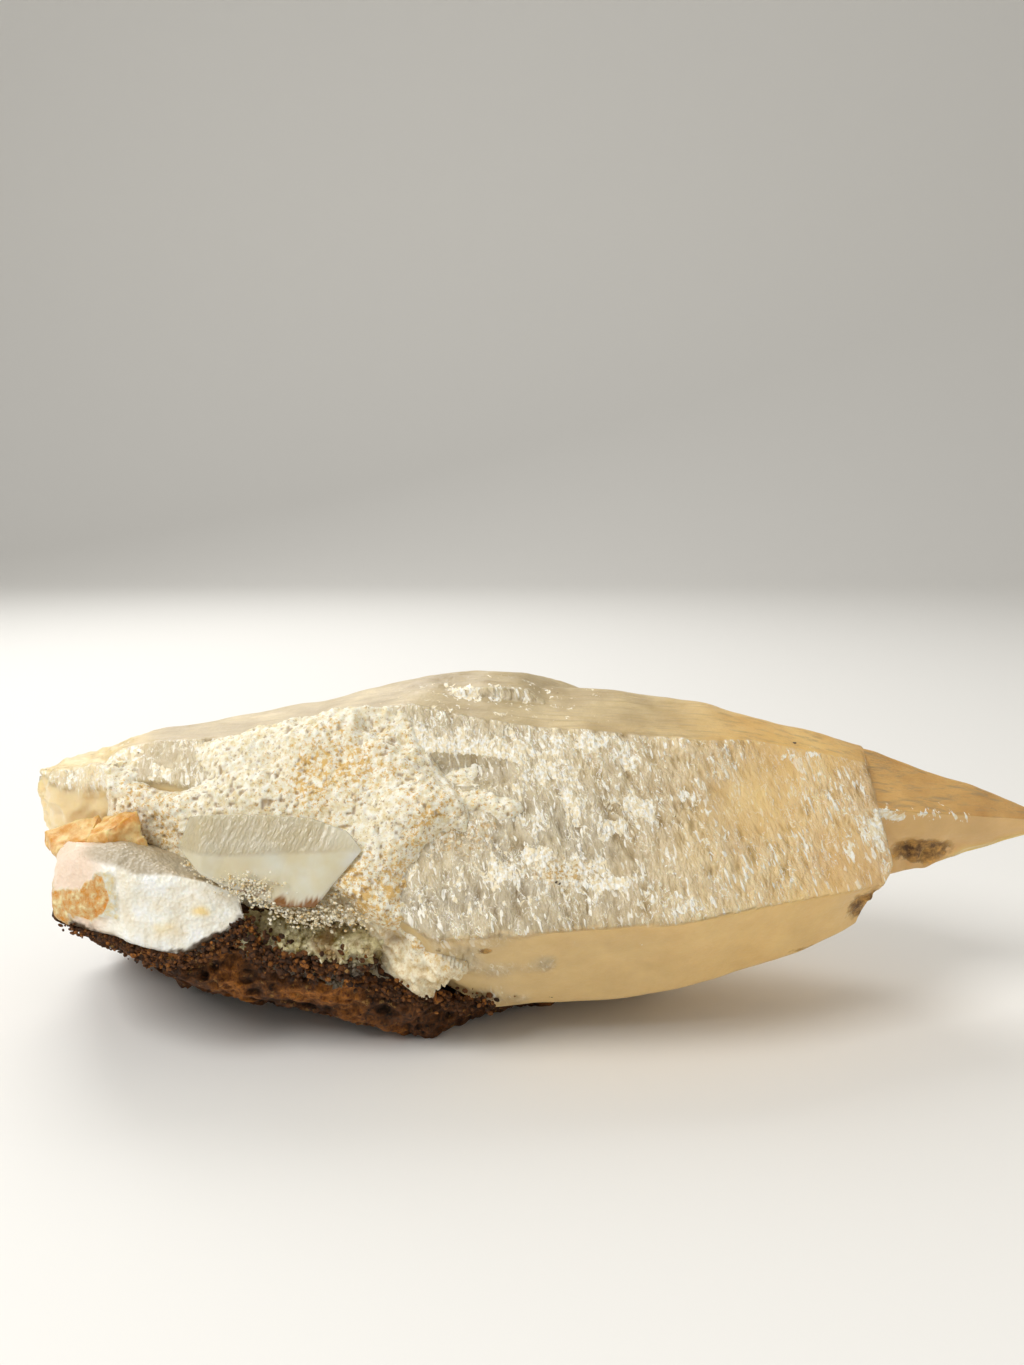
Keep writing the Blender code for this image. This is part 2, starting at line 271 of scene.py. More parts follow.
def skin(name, grid, ends, masks=None):
    """Makes a closed mesh object of a grid of loops, in metres, with its masks as attributes.

    Face i, j joins points (i, j), (i + 1, j), (i + 1, j + 1) and (i, j + 1); the last column
    joins the first, and each end point closes the nearest loop with a fan.
    """
    rows, columns = grid.shape[:2]
    index = np.arange(rows * columns).reshape(rows, columns)
    after = np.roll(index, -1, axis=1)
    quads = np.stack([index[:-1], index[1:], after[1:], after[:-1]], axis=-1).reshape(-1, 4)
    first, last = rows * columns, rows * columns + 1
    low_fan = np.stack([np.full(columns, first), index[0], after[0]], axis=-1)
    high_fan = np.stack([np.full(columns, last), after[-1], index[-1]], axis=-1)
    points = np.concatenate([grid.reshape(-1, 3), np.array(ends, float)])
    faces = quads.tolist() + low_fan.tolist() + high_fan.tolist()
    piece = new_piece(name, points * MM, faces)
    piece.data.polygons.foreach_set("use_smooth", np.ones(len(faces), bool))
    for key, values in (masks or {}).items():
        give_mask(piece, key, np.concatenate([values.ravel(), values[0, :1], values[-1, :1]]))
    piece.data.update()
    print("  from", points.min(axis=0).round(1), "to", points.max(axis=0).round(1), "mm")
    return piece


# %% [markdown]
# Materials are little machines of nodes. One helper adds a node, sets what it is given and
# links what comes from other nodes. Colours are written as they look on a screen, in hex,
# and one function turns them into the linear light that a renderer counts in.


# %% Colours and nodes
KINDS = {
    "place": "ShaderNodeTexCoord",
    "mask": "ShaderNodeAttribute",
    "mapping": "ShaderNodeMapping",
    "split": "ShaderNodeSeparateXYZ",
    "noise": "ShaderNodeTexNoise",
    "cells": "ShaderNodeTexVoronoi",
    "range": "ShaderNodeMapRange",
    "mix": "ShaderNodeMixRGB",
    "bump": "ShaderNodeBump",
    "shader": "ShaderNodeBsdfPrincipled",
    "absorption": "ShaderNodeVolumeAbsorption",
    "result": "ShaderNodeOutputMaterial",
}
SUMS = {
    "times": "MULTIPLY",
    "plus": "ADD",
    "minus": "SUBTRACT",
    "times_plus": "MULTIPLY_ADD",
    "size": "ABSOLUTE",
    "larger": "MAXIMUM",
}


def colour(text):
    """Linear RGBA of an sRGB hex.

    A part below 0.04045 is divided by 12.92, any other becomes ((part + 0.055) / 1.055) to the 2.4.
    """
    parts = np.array([int(text[start : start + 2], 16) for start in (1, 3, 5)]) / 255
    linear = np.where(parts <= 0.04045, parts / 12.92, ((parts + 0.055) / 1.055) ** 2.4)
    return (*linear.tolist(), 1.0)


def add_node(tree, kind, *values, output=0, **named):
    """Adds one node and gives back one of its outputs.

    Kind is a word of KINDS, or of SUMS for a node that calculates. Values go to the inputs in
    their order. A named value goes to the input of that name, or else to the node's setting.
    A socket is linked, a hex becomes its linear colour, and any other value is put on the input.
    """
    made = tree.nodes.new(KINDS.get(kind, "ShaderNodeMath"))
    if kind in SUMS:
        made.operation = SUMS[kind]
    given = dict(enumerate(values))
    for key, value in named.items():
        if key.replace("_", " ") in made.inputs:
            given[key.replace("_", " ")] = value
        else:
            setattr(made, key, value)
    for key, value in given.items():
        if isinstance(value, bpy.types.NodeSocket):
            tree.links.new(value, made.inputs[key])
        else:
            made.inputs[key].default_value = colour(value) if isinstance(value, str) else value
    return made.outputs[output] if made.outputs else None


def grains(size):
    """Texture scale, in waves a metre, for grains this many millimetres apart."""
    return 1 / (size * MM)


def new_material(name, keys=()):
    """An empty material, the helper that adds nodes to it, its Object coordinates and its masks."""
    made = bpy.data.materials.new(name)
    made.use_nodes = True
    made.node_tree.nodes.clear()
    add = functools.partial(add_node, made.node_tree)
    masks = {key: add("mask", output="Fac", attribute_name=key) for key in keys}
    return made, add, add("place", output="Object"), types.SimpleNamespace(**masks)


def finish_material(made, volume=None, **surface):
    """Feeds the Principled shader, whose plain sockets are set here, and counts the nodes."""
    tree = made.node_tree
    inside = {"Volume": volume} if volume else {}
    add_node(tree, "result", Surface=add_node(tree, "shader", **surface), **inside)
    print("material", made.name, "with", len(tree.nodes), "nodes")


def dress(piece, made, node):
    """Gives a piece its material, hangs it from the root body and hides the solid it stands for."""
    piece.data.materials.append(made)
    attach(piece, "root")
    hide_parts(node)


# %% [markdown]
# The big crystal is calcite that grew as three scalenohedra from one heart: the stout one in
# front, the slim spear that sticks out at the right, and the long one that reaches left behind
# the crust. Their faces are listed once for each crystal. Where they overlap they are one
# body, so the surface is simply the farthest of the three along each ray.

# %% Faces of the big crystal
FLANKS = (
    (36.5, 4.6, 29.6),
    (-32, 4.4, 39.8),
    (76, 6, 34.0),
    (112, 5, 39.5),
    (105, 14, 43.5),
    (135, 5, 43.0),
    (158, 5, 44.0),
    (-158, 6, 43.0),
    (-92, 3, 32.7),
    (-92, 10, 35.3),
    (-125, 8, 38.0),
)
BLUNT_RIGHT_END = (
    (35, 18, 38.6),
    (-32, 20, 48.2),
    (72, 17, 43.4),
    (-92, 22, 47.8),
    (175, 24, 54.0),
    (-62, 62, 84.3),
    (55, 70, 87.5),
)
STEEP_LEFT_END = (
    (36, -4, 29.5),
    (-35, -35, 43.0),
    (-60, -30, 39.0),
    (84, -14.5, 41.8),
    (115, -14, 45.5),
    (38, -36, 46.0),
    (-95, -28, 38.0),
    (150, -30, 60.0),
    (-150, -34, 58.0),
)
SPEAR_TIP = (
    (46, 10.3, 27.5),
    (-25, 5.2, 11.0),
    (-90, 16.7, 37.9),
    (72, 17, 43.7),
    (105, 20, 51.2),
    (150, 20, 48.8),
    (-145, 16, 36.0),
)
LONG_LEFT_END = (
    (86, -6, 35.7),
    (86, -20, 55.6),
    (36, -4, 29.0),
    (43, -12, 40.5),
    (-5, -14, 33.0),
    (-78, -17, 33.0),
    (118, -15, 47.0),
    (150, -18, 51.0),
    (-150, -20, 50.0),
    (-14, -57, 95.0),
    (0, 80, 40.0),
)
LOWER_FLANKS = tuple((turn, lean, reach - 0.5) for turn, lean, reach in FLANKS)
FRONT_CRYSTAL = FLANKS + BLUNT_RIGHT_END + STEEP_LEFT_END
SPEAR_CRYSTAL = LOWER_FLANKS + SPEAR_TIP + STEEP_LEFT_END
LEFT_CRYSTAL = LOWER_FLANKS + LONG_LEFT_END
ROOF_LEDGE = (
    (80, 0, 37.1),
    (80, -13.5, 39.8),
    (80, 25, 34.6),
    (108, 2, 43.0),
    (110, -14, 45.6),
    (0, 0, -1.0),
    (-90, 0, -25.0),
    (150, 0, 38.0),
)
BIG_CRYSTAL = (FRONT_CRYSTAL, SPEAR_CRYSTAL, LEFT_CRYSTAL, ROOF_LEDGE)

# %% Rays of the big crystal
LEFT_END = end_corner(LEFT_CRYSTAL, HEART, -1)
TIP = end_corner(SPEAR_CRYSTAL, HEART, 1)
CRYSTAL_PATH = (LEFT_END, HEART, TIP)
CRYSTAL_ROWS, CRYSTAL_COLUMNS = 396, 246
print("left end", LEFT_END.round(1), "tip", TIP.round(1))


def crystal_density(x):
    """Closer loops over the ribbed front, and closest at the blunt right end and the left end."""
    ribbed = 0.8 * ease(x, -30, -10) * (1 - ease(x, 78, 95))
    return 1.0 + ribbed + 1.8 * spot(x[:, None], 88, 5) + 2 * (1 - ease(x, -126, -116))


# Each loop has more of its points where the surface looks at the viewer.
crystal_stations = spaced(LEFT_END[0] + 0.2, TIP[0] - 0.25, CRYSTAL_ROWS, crystal_density)
crystal_turns = spaced(-math.pi, math.pi, CRYSTAL_COLUMNS + 1, lambda turn: 1.25 + np.cos(turn - 0.35))[:-1]
origins, outward = loops_of_rays(CRYSTAL_PATH, crystal_stations, crystal_turns)
# Edges are crisp along the body and worn round at the left end.
crispness = (9 + 51 * ease(crystal_stations, -108, -84))[:, None]
crystal_reach = reach_of(BIG_CRYSTAL, HEART, origins, outward, crispness)
bare = moved(origins, outward, crystal_reach)
bare_normals = grid_normals(bare)
# The spear is what sticks out beyond the front crystal at the right.
beyond_front = crystal_reach - reach_of((FRONT_CRYSTAL,), HEART, origins, outward)
on_spear = ease(beyond_front, 0.2, 1.2) * ease(bare[..., 0], 40, 60)

# %% [markdown]
# Dogtooth faces are rarely glassy. Weak acid in the ground water etched the front face into
# steep ribs, two or three millimetres apart, that lean a little and break up into drops. The
# roof only has fine lines along its length, and the lower face stayed smooth as wax. A mask
# for each comes from the way the bare surface looks: its turn round the long axis.

# %% Relief of the big crystal
facing = turn_of(bare_normals)
x, _, z = np.moveaxis(bare, -1, 0)
# At the left the ribs fade out in patches over the lower face; at the right they end at its crease.
fading = (40 * (1 - ease(x, -10, 45)) + 10 * heights(bare, 6.0, 101)) * (facing < 12) * ease(x, -60, -50)
on_front = ease(facing + fading, 4, 16) * (1 - ease(facing, 56, 66))
on_roof = ease(facing, 58, 68) * (1 - ease(facing, 150, 175))
below = 1 - ease(facing, -6, 6)


def rib_space(points, stretch, slant=0.3):
    """Space squeezed so that round lumps come out as ribs: x + slant z, y and z times stretch."""
    return points * (1, stretch, stretch) + points[..., 2:] * (slant, 0, 0)


def etched_ribs(points):
    """Drops and ribs: slow and quick ribs added, with the crests sharpened as 1 - 2 |height|."""
    bent = points + 1.3 * heights(points, 5.0, 41)[..., None] * (1, 0, 0)
    slow = heights(rib_space(bent, 0.26), 2.0, 42)
    quick = 1 - 2 * np.abs(heights(rib_space(bent, 0.4), 1.25, 43))
    return 0.5 * slow + 0.6 * quick


slow_ribs = heights(rib_space(bare, 0.25, 0.25), 5.5, 11)
swell = 0.9 * heights(bare, 19.0, 3) + 0.35 * slow_ribs
etched = etched_ribs(bare)
patches = ease(heights(bare, 14.0, 44) + 0.4 * (1 - ease(x, 20, 60)), -0.4, 0.5)
etch_strength = on_front * (0.4 + 0.6 * patches)
on_back = ease(np.abs(facing), 116, 134)
etch_strength = np.maximum(etch_strength * (1 - on_spear), 0.7 * on_back * (1 - ease(x, 88, 100)))
lines = heights(bare * (0.12, 1, 1), 1.3, 45)
steps = heights(bare * (0.35, 1, 1), 4.0, 46)
crumple = 1 - 2 * np.abs(heights(bare, 4.5, 47))
left_part = 1 - ease(x, -104, -92)
relief = swell + (0.6 - 0.25 * ease(x, 30, 80)) * etch_strength * etched
lined_part = np.maximum(on_roof, on_spear * on_front)
relief += lined_part * ((0.09 + 0.1 * on_spear) * lines + 0.22 * steps)
ledge_rough = spot(bare, (-22, 8, 80), (24, 12, 5))
relief += ledge_rough * (0.5 * heights(bare * (0.6, 1, 1), 2.6, 49) - 0.1)
relief += left_part * (0.9 * crumple * (1 - ease(facing, 90, 130)) + 0.45 * heights(bare, 1.8, 50))

# %% Hollow, bumps and breaks of the big crystal
# The hollow goes down in ragged terraces, each with a flat tread and a short riser.
TREADS = 5
hollow = spot(bare, (-21, -24, 64), (12, 12, 3.0)) * on_front
terraces = TREADS * (hollow + 0.1 * heights(bare * (0.5, 1, 1), 3.0, 53))
terraces = (np.floor(terraces) + ease(terraces % 1, 0.55, 1.0)) / TREADS
terraces = np.clip(terraces, 0, 1) * ease(hollow, 0.1, 0.3)
spear_break = spot(bare, (95, -4, 38), (9, 8, 4.4)) * below
corner_break = spot(bare, (77, -20, 30), (6, 9, 6))
relief -= 3.4 * terraces + etch_strength * 0.5 * etched * ease(hollow, 0.15, 0.4)
relief += spots(bare, ((39, 1, 73, 6, 8, 4, 1.1), (31, 1, 75, 3, 8, 3, 0.5)))
relief -= (spear_break + 0.6 * corner_break) * (2.3 + 1.9 * heights(bare, 2.6, 48))
crystal_grid = moved(bare, bare_normals, tapered(relief, crystal_reach, 5))
print("crystal relief from", relief.min().round(2), "to", relief.max().round(2), "mm")

# %% [markdown]
# The calcite is grey-beige where veils of tiny bubbles cloud it and honey where iron stains
# it, more so towards the spear. White frost clings to the front in flecks, and painted highlights
# lie along the spear's creases and the edges: the places are a short list of patches, each a soft
# spot, and fine random grains in the material break them up. Such masks can be painted by hand
# too, but a list stays easy to move and to read.

# %% Frost and painted highlights on the big crystal
FROST_AND_HIGHLIGHT_PATCHES = (
    # centre x, y, z, then size x, y, z, then strength
    (-16, -3, 77.5, 22, 16, 8, 0.95),
    (9, 0, 77, 12, 12, 6, 0.3),
    (-29, -20, 69, 6, 9, 4, 1.1),
    (-20, -21, 66, 8, 9, 3.5, 1.05),
    (-10, -22, 68, 8, 9, 3, 0.85),
    (-3, -22, 64, 5, 9, 3, 0.85),
    (9, -19, 69.5, 5, 9, 1.6, 0.8),
    (18.5, -21, 66.5, 2, 9, 4, 1.0),
    (6, -27, 58, 2, 9, 4.5, 1.0),
    (14, -31, 53, 4, 9, 3, 1.0),
    (23, -28, 56, 5, 9, 2.6, 0.9),
    (-3, -37, 47, 3.5, 9, 2, 0.9),
    (4, -38, 44.5, 6, 9, 2.2, 1.15),
    (13, -38, 42, 5, 9, 1.6, 1.0),
    (-10, -38, 44, 4, 9, 3, 0.8),
    (30, -38, 38, 3, 9, 1.6, 0.9),
    # From here to the row at x 62, z 57 the patches are painted highlights, not frost: along the right edge
    # of the front, on the spear's creases and lower ridge, on the roof's edge, and glints.
    (82, -9, 49.6, 4, 9, 2.6, 1.6),
    (77, -12, 46.8, 4, 9, 2.4, 1.3),
    (71, -16, 43.6, 4, 9, 2.0, 1.1),
    (91, -8, 49.6, 7, 9, 2.0, 2.1),
    (103, -5, 48.4, 6, 9, 1.2, 1.1),
    (122, 0, 43.2, 5, 9, 0.5, 0.7),
    (62, -10, 64.5, 8, 9, 1.2, 0.6),
    (62, -20, 57, 3, 9, 3, 0.6),
    (-45, -16, 74, 5, 9, 6, 0.8),
)
frost = spots(bare, FROST_AND_HIGHLIGHT_PATCHES) * (0.75 + 0.5 * heights(bare * (1, 1, 1.4), 3.2, 52))
scattered = on_front * (0.6 - 0.26 * ease(x, 5, 60)) * ease(z, 30, 38)
scattered = scattered * (1 - ease(z, 70, 75)) * (1 - on_spear) * (1 - ease(x, 66, 80) * ease(z, 48, 55))
frost = frost + scattered + 0.25 * on_back + 0.3 * left_part * ease(facing, 0, 60)
frost = np.clip(frost * (1 - 0.8 * ease(hollow, 0.1, 0.3)), 0, 1.5)

# %% Masks of the big crystal
honey = ease(x + 16 * heights(bare, 26.0, 51) + 22 * below, -8, 78)
honey = np.clip(honey + 0.35 * left_part, 0, 1)
STAIN_PATCHES = (
    (66, -22, 19, 12, 12, 1.6, 0.8),
    (-14, -43, 27.5, 2.6, 9, 1.5, 0.85),
    (-24, -43, 28.5, 1.3, 9, 1.6, 0.8),
)
stain = np.clip(1.2 * (corner_break + spear_break) + spots(bare, STAIN_PATCHES), 0, 1.1)
# Masks for a painted highlight on the rib crests and a painted shade in the troughs.
crests = ease(etched, -0.75, 0.75) * etch_strength
troughs = (1 - ease(etched, -0.9, 0.1)) * etch_strength
smoky = on_front * (1 - ease(x, 0, 32)) * (1 - ease(z, 50, 62)) + 0.6 * hollow
sandy = spots(bare, ((4, -38, 44.5, 10, 9, 4, 1.0), (-20, -32, 52, 13, 9, 7, 1.0)))
reddening = 0.75 * ease(x + 5 * heights(bare, 9.0, 55), 62, 90)
crystal_masks = {
    "frost": frost,
    "honey": honey,
    "stain": stain,
    "ribbed": etch_strength,
    "crests": crests,
    "troughs": troughs,
    "smoky": np.clip(smoky, 0, 1),
    "sandy": np.clip(sandy, 0, 1),
    "striae": lined_part * (1 + 0.6 * on_spear),
    "spear": np.maximum(0.9 * on_spear, reddening),
    "waxy": below,
    "left_end": left_part * (1 - ease(facing, 100, 140)),
}
crystal_piece = skin("main_crystal_calcite", crystal_grid, (LEFT_END, TIP), crystal_masks)

# %% [markdown]
# Calcite, etched by ground water. Light enters, scatters on cleavage cracks and comes out a few
# millimetres away, which gives the lower face its glow like wax, so the shader scatters light
# under the surface. The lower face also gets a painted warm bounce light in its colour. Calcite
# bends light strongly (IOR 1.6), which gives wet-looking glints on the ribs, and more highlights
# are painted into the colour: bright threads and dashes, lighter rib crests with painted shade in
# the troughs, and white along the spear's creases and edges. Frost is matt and white, and iron
# stains the rest from beige to honey.

# %% Material: etched honey calcite
honey_calcite, add, place, masks = new_material("etched_honey_calcite", crystal_masks)
cloud = add("noise", place, Scale=grains(15), Detail=6.0, Roughness=0.62)
veil = add("range", cloud, 0.25, 0.75)
beige = add("mix", veil, "#9E8962", "#DBC79A")
amber = add("mix", veil, "#DAA95A", "#F5D38A")
body = add("mix", masks.honey, beige, amber)
deep_amber = add("mix", veil, "#A06C2C", "#D2A25C")
# Slow clouds drift in the clear wax of the lower face, and smoke low on the front's left part.
haze = add("noise", place, Scale=grains(16), Detail=5.0, Roughness=0.55)
haze = add("range", haze, 0.4, 0.7, To_Max=0.3)
puffs = add("noise", place, Scale=grains(6), Detail=5.0)
smoke = add("range", puffs, 0.35, 0.7, To_Max=0.8)
# Growth lines of the roof, about a millimetre and a half apart and many times as long.
along_roof = add("mapping", place, Scale=(0.07, 1.0, 1.0))
growth_lines = add("noise", along_roof, Scale=grains(1.4), Detail=4.0, Roughness=0.7)
lined = add("range", growth_lines, 0.5, 0.66, To_Max=0.5)
# Layers over the body, the later on top: where each lies, how strong it is, and its tint. The rib
# crests get a painted highlight and the troughs a painted shade, so the tone follows the height.
# The lower face gets a painted warm bounce light.
LAYERS = (
    (masks.spear, 0.8, deep_amber),
    # Painted warm bounce light on the lower face.
    (masks.waxy, 0.42, "#FFDC98"),
    (masks.waxy, haze, "#B48E50"),
    (masks.left_end, 0.6, "#F3DFAE"),
    (masks.smoky, smoke, "#8E8069"),
    (masks.striae, lined, "#A58C62"),
    # Painted shade in the rib troughs, then a painted highlight on the crests.
    (masks.troughs, 0.65, "#927848"),
    (masks.crests, 0.35, "#FFF6DC"),
)
for mask, share, tint in LAYERS:
    body = add("mix", add("times", mask, share), body, tint)
# Rust and clay lie in the broken places, in crumbs of their own tone.
broken = add("noise", place, Scale=grains(2.2), Detail=5.0, Roughness=0.7)
stain = add("times", broken, masks.stain)
stain = add("range", stain, 0.24, 0.36)
stain_light = add("range", broken, 0.4, 0.68)
stain_tone = add("mix", stain_light, "#5A3A10", "#D8A654")
body = add("mix", stain, body, stain_tone)

# %% Painted highlights and frost flecks
# Painted highlights: fine bright lines wander along the ribs, where a rib's edge sends back the light.
RIB_LEAN = math.radians(17)
along_ribs = add("mapping", place, Rotation=(0, -RIB_LEAN, 0), Scale=(1.0, 1.7, 2.2), vector_type="TEXTURE")
wander = add("noise", along_ribs, Scale=grains(1.9), Detail=3.0, Distortion=1.2)
off_middle = add("size", add("minus", wander, 0.5))
thread = add("range", off_middle, 0.02, 0.008, To_Max=0.9)
where = add("noise", along_ribs, Scale=grains(3.2), Detail=3.0)
where = add("range", where, 0.46, 0.54)
where = add("times", where, masks.ribbed)
thread = add("times", thread, where)
body = add("mix", thread, body, "#FFFAEA")
# Painted highlights: short bright dashes, a third of a millimetre wide, where a drop of a rib shines.
stretched = add("mapping", place, Rotation=(0, -RIB_LEAN, 0), Scale=(1.0, 2.5, 4.0), vector_type="TEXTURE")
dash = add("noise", stretched, Scale=grains(1.0), Detail=1.0)
dash = add("range", dash, 0.64, 0.67)
dash = add("times", dash, masks.ribbed)
body = add("mix", dash, body, "#FFF9E8")
# Frost flecks, about 1.5 mm long and half as wide, lie along the ribs in clumps. The same
# flecks draw the painted highlights of the patches along the edges and creases.
flecks = add("noise", along_ribs, Scale=grains(2.0), Detail=5.0, Roughness=0.66, Distortion=1.1)
clumps = add("noise", place, Scale=grains(5))
clumps = add("times_plus", clumps, 0.4, -0.31)
lots = add("times_plus", masks.frost, 0.31, clumps)
lots = add("plus", flecks, lots)
white = add("range", lots, 0.65, 0.672)
fine = add("noise", place, Scale=grains(0.9), Detail=3.0)
fine_grain = add("range", fine, 0.42, 0.6)
frost_and_highlight_tone = add("mix", fine_grain, "#F2E2BC", "#FFFCF0")
body = add("mix", white, body, frost_and_highlight_tone)

# %% Sand, specks and bumps
# Sand of the crust thins out over the crystal: ochre and cream grains under a millimetre.
sand = add("noise", place, Scale=grains(1.1), Detail=4.0, Roughness=0.7)
sand = add("times_plus", masks.sandy, 0.16, sand)
sand = add("range", sand, 0.64, 0.67)
sand = add("times", sand, masks.sandy)
sand_tone = add("mix", fine_grain, "#C79F58", "#F6EBCF")
body = add("mix", sand, body, sand_tone)
# A few specks of iron and clay, about half a millimetre, sit anywhere.
specks = add("noise", place, Scale=grains(2.6))
specks = add("range", specks, 0.77, 0.79)
body = add("mix", specks, body, "#5A4630")
gloss = add("times_plus", white, 0.4, 0.3)
gloss = add("times_plus", masks.striae, 0.12, gloss)
gloss = add("times_plus", stain, 0.4, gloss)
# Frost and bright drops send the light back at once, so little of it scatters inside.
at_once = add("larger", white, dash)
scattering = add("range", at_once, To_Min=0.5, To_Max=0.06)
rib_height = add("noise", along_ribs, Scale=grains(1.1), Detail=3.0, Roughness=0.55)
rib_height = add("times", rib_height, masks.ribbed)
bump = add("bump", Height=rib_height, Strength=1.0, Distance=1.4 * MM)
line_height = add("times", growth_lines, masks.striae)
bump = add("bump", Height=line_height, Strength=0.8, Distance=0.5 * MM, Normal=bump)
raised = add("plus", white, sand)
raised = add("plus", raised, dash)
raised = add("times_plus", raised, 0.5, fine)
bump = add("bump", Height=raised, Strength=0.7, Distance=0.2 * MM, Normal=bump)
finish_material(
    honey_calcite,
    Base_Color=body,
    Roughness=gloss,
    Normal=bump,
    IOR=1.6,
    Subsurface_Weight=scattering,
    Subsurface_Radius=(1.0, 0.85, 0.5),
    Subsurface_Scale=0.003,
    Coat_Weight=0.06,
    Coat_Roughness=0.2,
)
dress(crystal_piece, honey_calcite, "main_crystal")

# %% [markdown]
# The side crystal is a small clear scalenohedron that sits in the crust. Some light goes through
# it, so its faces are kept crisp and its skin thin in detail: fine ripples above the long crease,
# and almost none below. The solid has its two front faces a little steeper, and its outline is
# the same. Its rays leave a path from end to end, as those of each smaller block do.

# %% Rays of a single block
def end_density(low, high, width=5.0, extra=1.5):
    """A density for spaced(): closer loops within a width of both ends."""
    return lambda v: 1 + extra * (1 - ease(v, low, low + width)) + extra * ease(v, high - width, high)


def block_rays(faces, heart, rows, columns, crispness, margin=0.05, width=5.0, extra=1.5):
    """Both ends of a block, and rays from its axis: their starts, directions and reaches.

    The axis runs from the left corner through the heart to the right one, and the loops begin
    a margin inside them.
    """
    ends = np.array([end_corner(faces, heart, side) for side in (-1, 1)])
    low, high = ends[:, 0]
    stations = spaced(low + margin, high - margin, rows, end_density(low, high, width, extra))
    turns = np.linspace(-math.pi, math.pi, columns, endpoint=False)
    origins, outward = loops_of_rays((ends[0], heart, ends[1]), stations, turns)
    return ends, origins, outward, reach_of((faces,), heart, origins, outward, crispness)


# %% Side crystal
SIDE_HEART = HEART + (-54.0, -27.0, 6.5)
SIDE_FACES = (
    (26.6, 3.5, 8.8),
    (20.9, 3.8, 9.0),
    (20, -35, 16.2),
    (166.4, -52.9, 12.5),
    (113.6, -2.1, 6.3),
    (113.1, 3.7, 5.9),
    (121.8, 21.5, 7.4),
    (150.3, 43.6, 10.0),
    (-121.7, 35.5, 8.0),
    (-104.6, -2.4, 6.3),
    (-102.8, -24.9, 6.0),
    (-101.4, -20.3, 5.6),
)
side_ends, origins, outward, side_reach = block_rays(SIDE_FACES, SIDE_HEART, 190, 190, 50.0, extra=0)
bare = moved(origins, outward, side_reach)
side_normals = grid_normals(bare)
above_crease = bare[..., 2] - 49.6 + 0.5 * heights(bare, 5.0, 64)
side_upper = ease(above_crease, -0.6, 0.6) * (1 - ease(turn_of(side_normals), 100, 130))
side_upper = side_upper * (1 - 0.6 * ease(bare[..., 0], -53, -45))
ripples = heights(rib_space(bare, 0.2, -0.4), 0.9, 61)
side_relief = 0.4 * heights(bare, 7.0, 9) + 0.15 * heights(bare, 2.8, 65)
side_relief += (0.03 + 0.12 * side_upper) * ripples
side_grid = moved(bare, side_normals, tapered(side_relief, side_reach, 3))

# %% Masks of the side crystal
# The rim is the ragged lower edge, which hangs in a shallow V. The shade lies to its left.
side_x, side_z = side_grid[..., 0], side_grid[..., 2]
above_rim = side_z - 40.5 - 0.16 * np.abs(side_x + 52)
above_rim = above_rim + 1.6 * heights(side_grid, 2.0, 62) + 0.9 * heights(side_grid, 0.8, 66)
from_shade = side_x - 1.4 * (side_z - 48) + 4 * heights(side_grid, 9.0, 63)
side_masks = {
    "rim": 1 - ease(above_rim, -1.7, -0.7),
    "rippled": side_upper,
    "shaded": 0.3 * (1 - ease(from_shade, -80, -52)),
}
side_piece = skin("side_crystal_clear", side_grid, side_ends, side_masks)

# %% [markdown]
# Clear calcite, a little milky. Up to a third of the light goes through and bends as calcite's
# IOR says, and the rest scatters just under the skin. The ripples make it a little rough, and an
# absorption in the volume warms what comes from deep inside.

# %% Material: clear rippled calcite
clear_calcite, add, place, masks = new_material("clear_rippled_calcite", side_masks)
cloud = add("noise", place, Scale=grains(7), Detail=5.0)
cloud = add("range", cloud, 0.35, 0.65)
glass = add("mix", cloud, "#F8EAC4", "#FFFAE6")
body = add("mix", masks.shaded, glass, "#E2D6AE")
deep = add("times", masks.rippled, 0.4)
body = add("mix", deep, body, "#C4B284")
body = add("mix", masks.rim, body, "#8A5A22")
RIPPLE_LEAN = math.radians(22)
across = add("mapping", place, Rotation=(0, RIPPLE_LEAN, 0), Scale=(1.0, 2.0, 3.0), vector_type="TEXTURE")
ripples = add("noise", across, Scale=grains(0.65), Detail=3.0, Distortion=0.5)
ripples = add("times", ripples, masks.rippled)
bump = add("bump", Height=ripples, Strength=1.0, Distance=0.55 * MM)
clearness = add("range", masks.rim, To_Min=0.34, To_Max=0.05)
depth = add("absorption", Color="#F4E8C8", Density=3.0)
finish_material(
    clear_calcite,
    volume=depth,
    Base_Color=body,
    Normal=bump,
    Transmission_Weight=clearness,
    IOR=1.6,
    Roughness=0.22,
    Subsurface_Weight=0.4,
    Subsurface_Radius=(1.0, 0.9, 0.65),
    Subsurface_Scale=0.003,
    Coat_Weight=0.2,
    Coat_Roughness=0.05,
)
dress(side_piece, clear_calcite, "side_crystal")

# %% [markdown]
# The block of white spar is massive calcite with a sugary grain, broken along a few flat
# planes. An ochre skin of iron oxide peels off its left end, so that skin stands a little
# proud, with a ragged edge that comes from the same random numbers as the rest.

# %% White spar block
SPAR_HEART = HEART + (-80.0, -20.0, -5.0)
SPAR_FACES = (
    (6, 7, 17.9),
    (3, -27, 18.8),
    (62, 2, 15.1),
    (76.9, -37.8, 21.9),
    (104.9, 1.4, 9.5),
    (103, 21.8, 6.9),
    (174.9, 47.7, 4.5),
    (-60, 30, 19.0),
    (-75, -14, 13.0),
    (0, -80, 25.0),
    (180, 0, 18.0),
)
# The solids keep this far from each other, and so do their skins.
GAP = 0.3


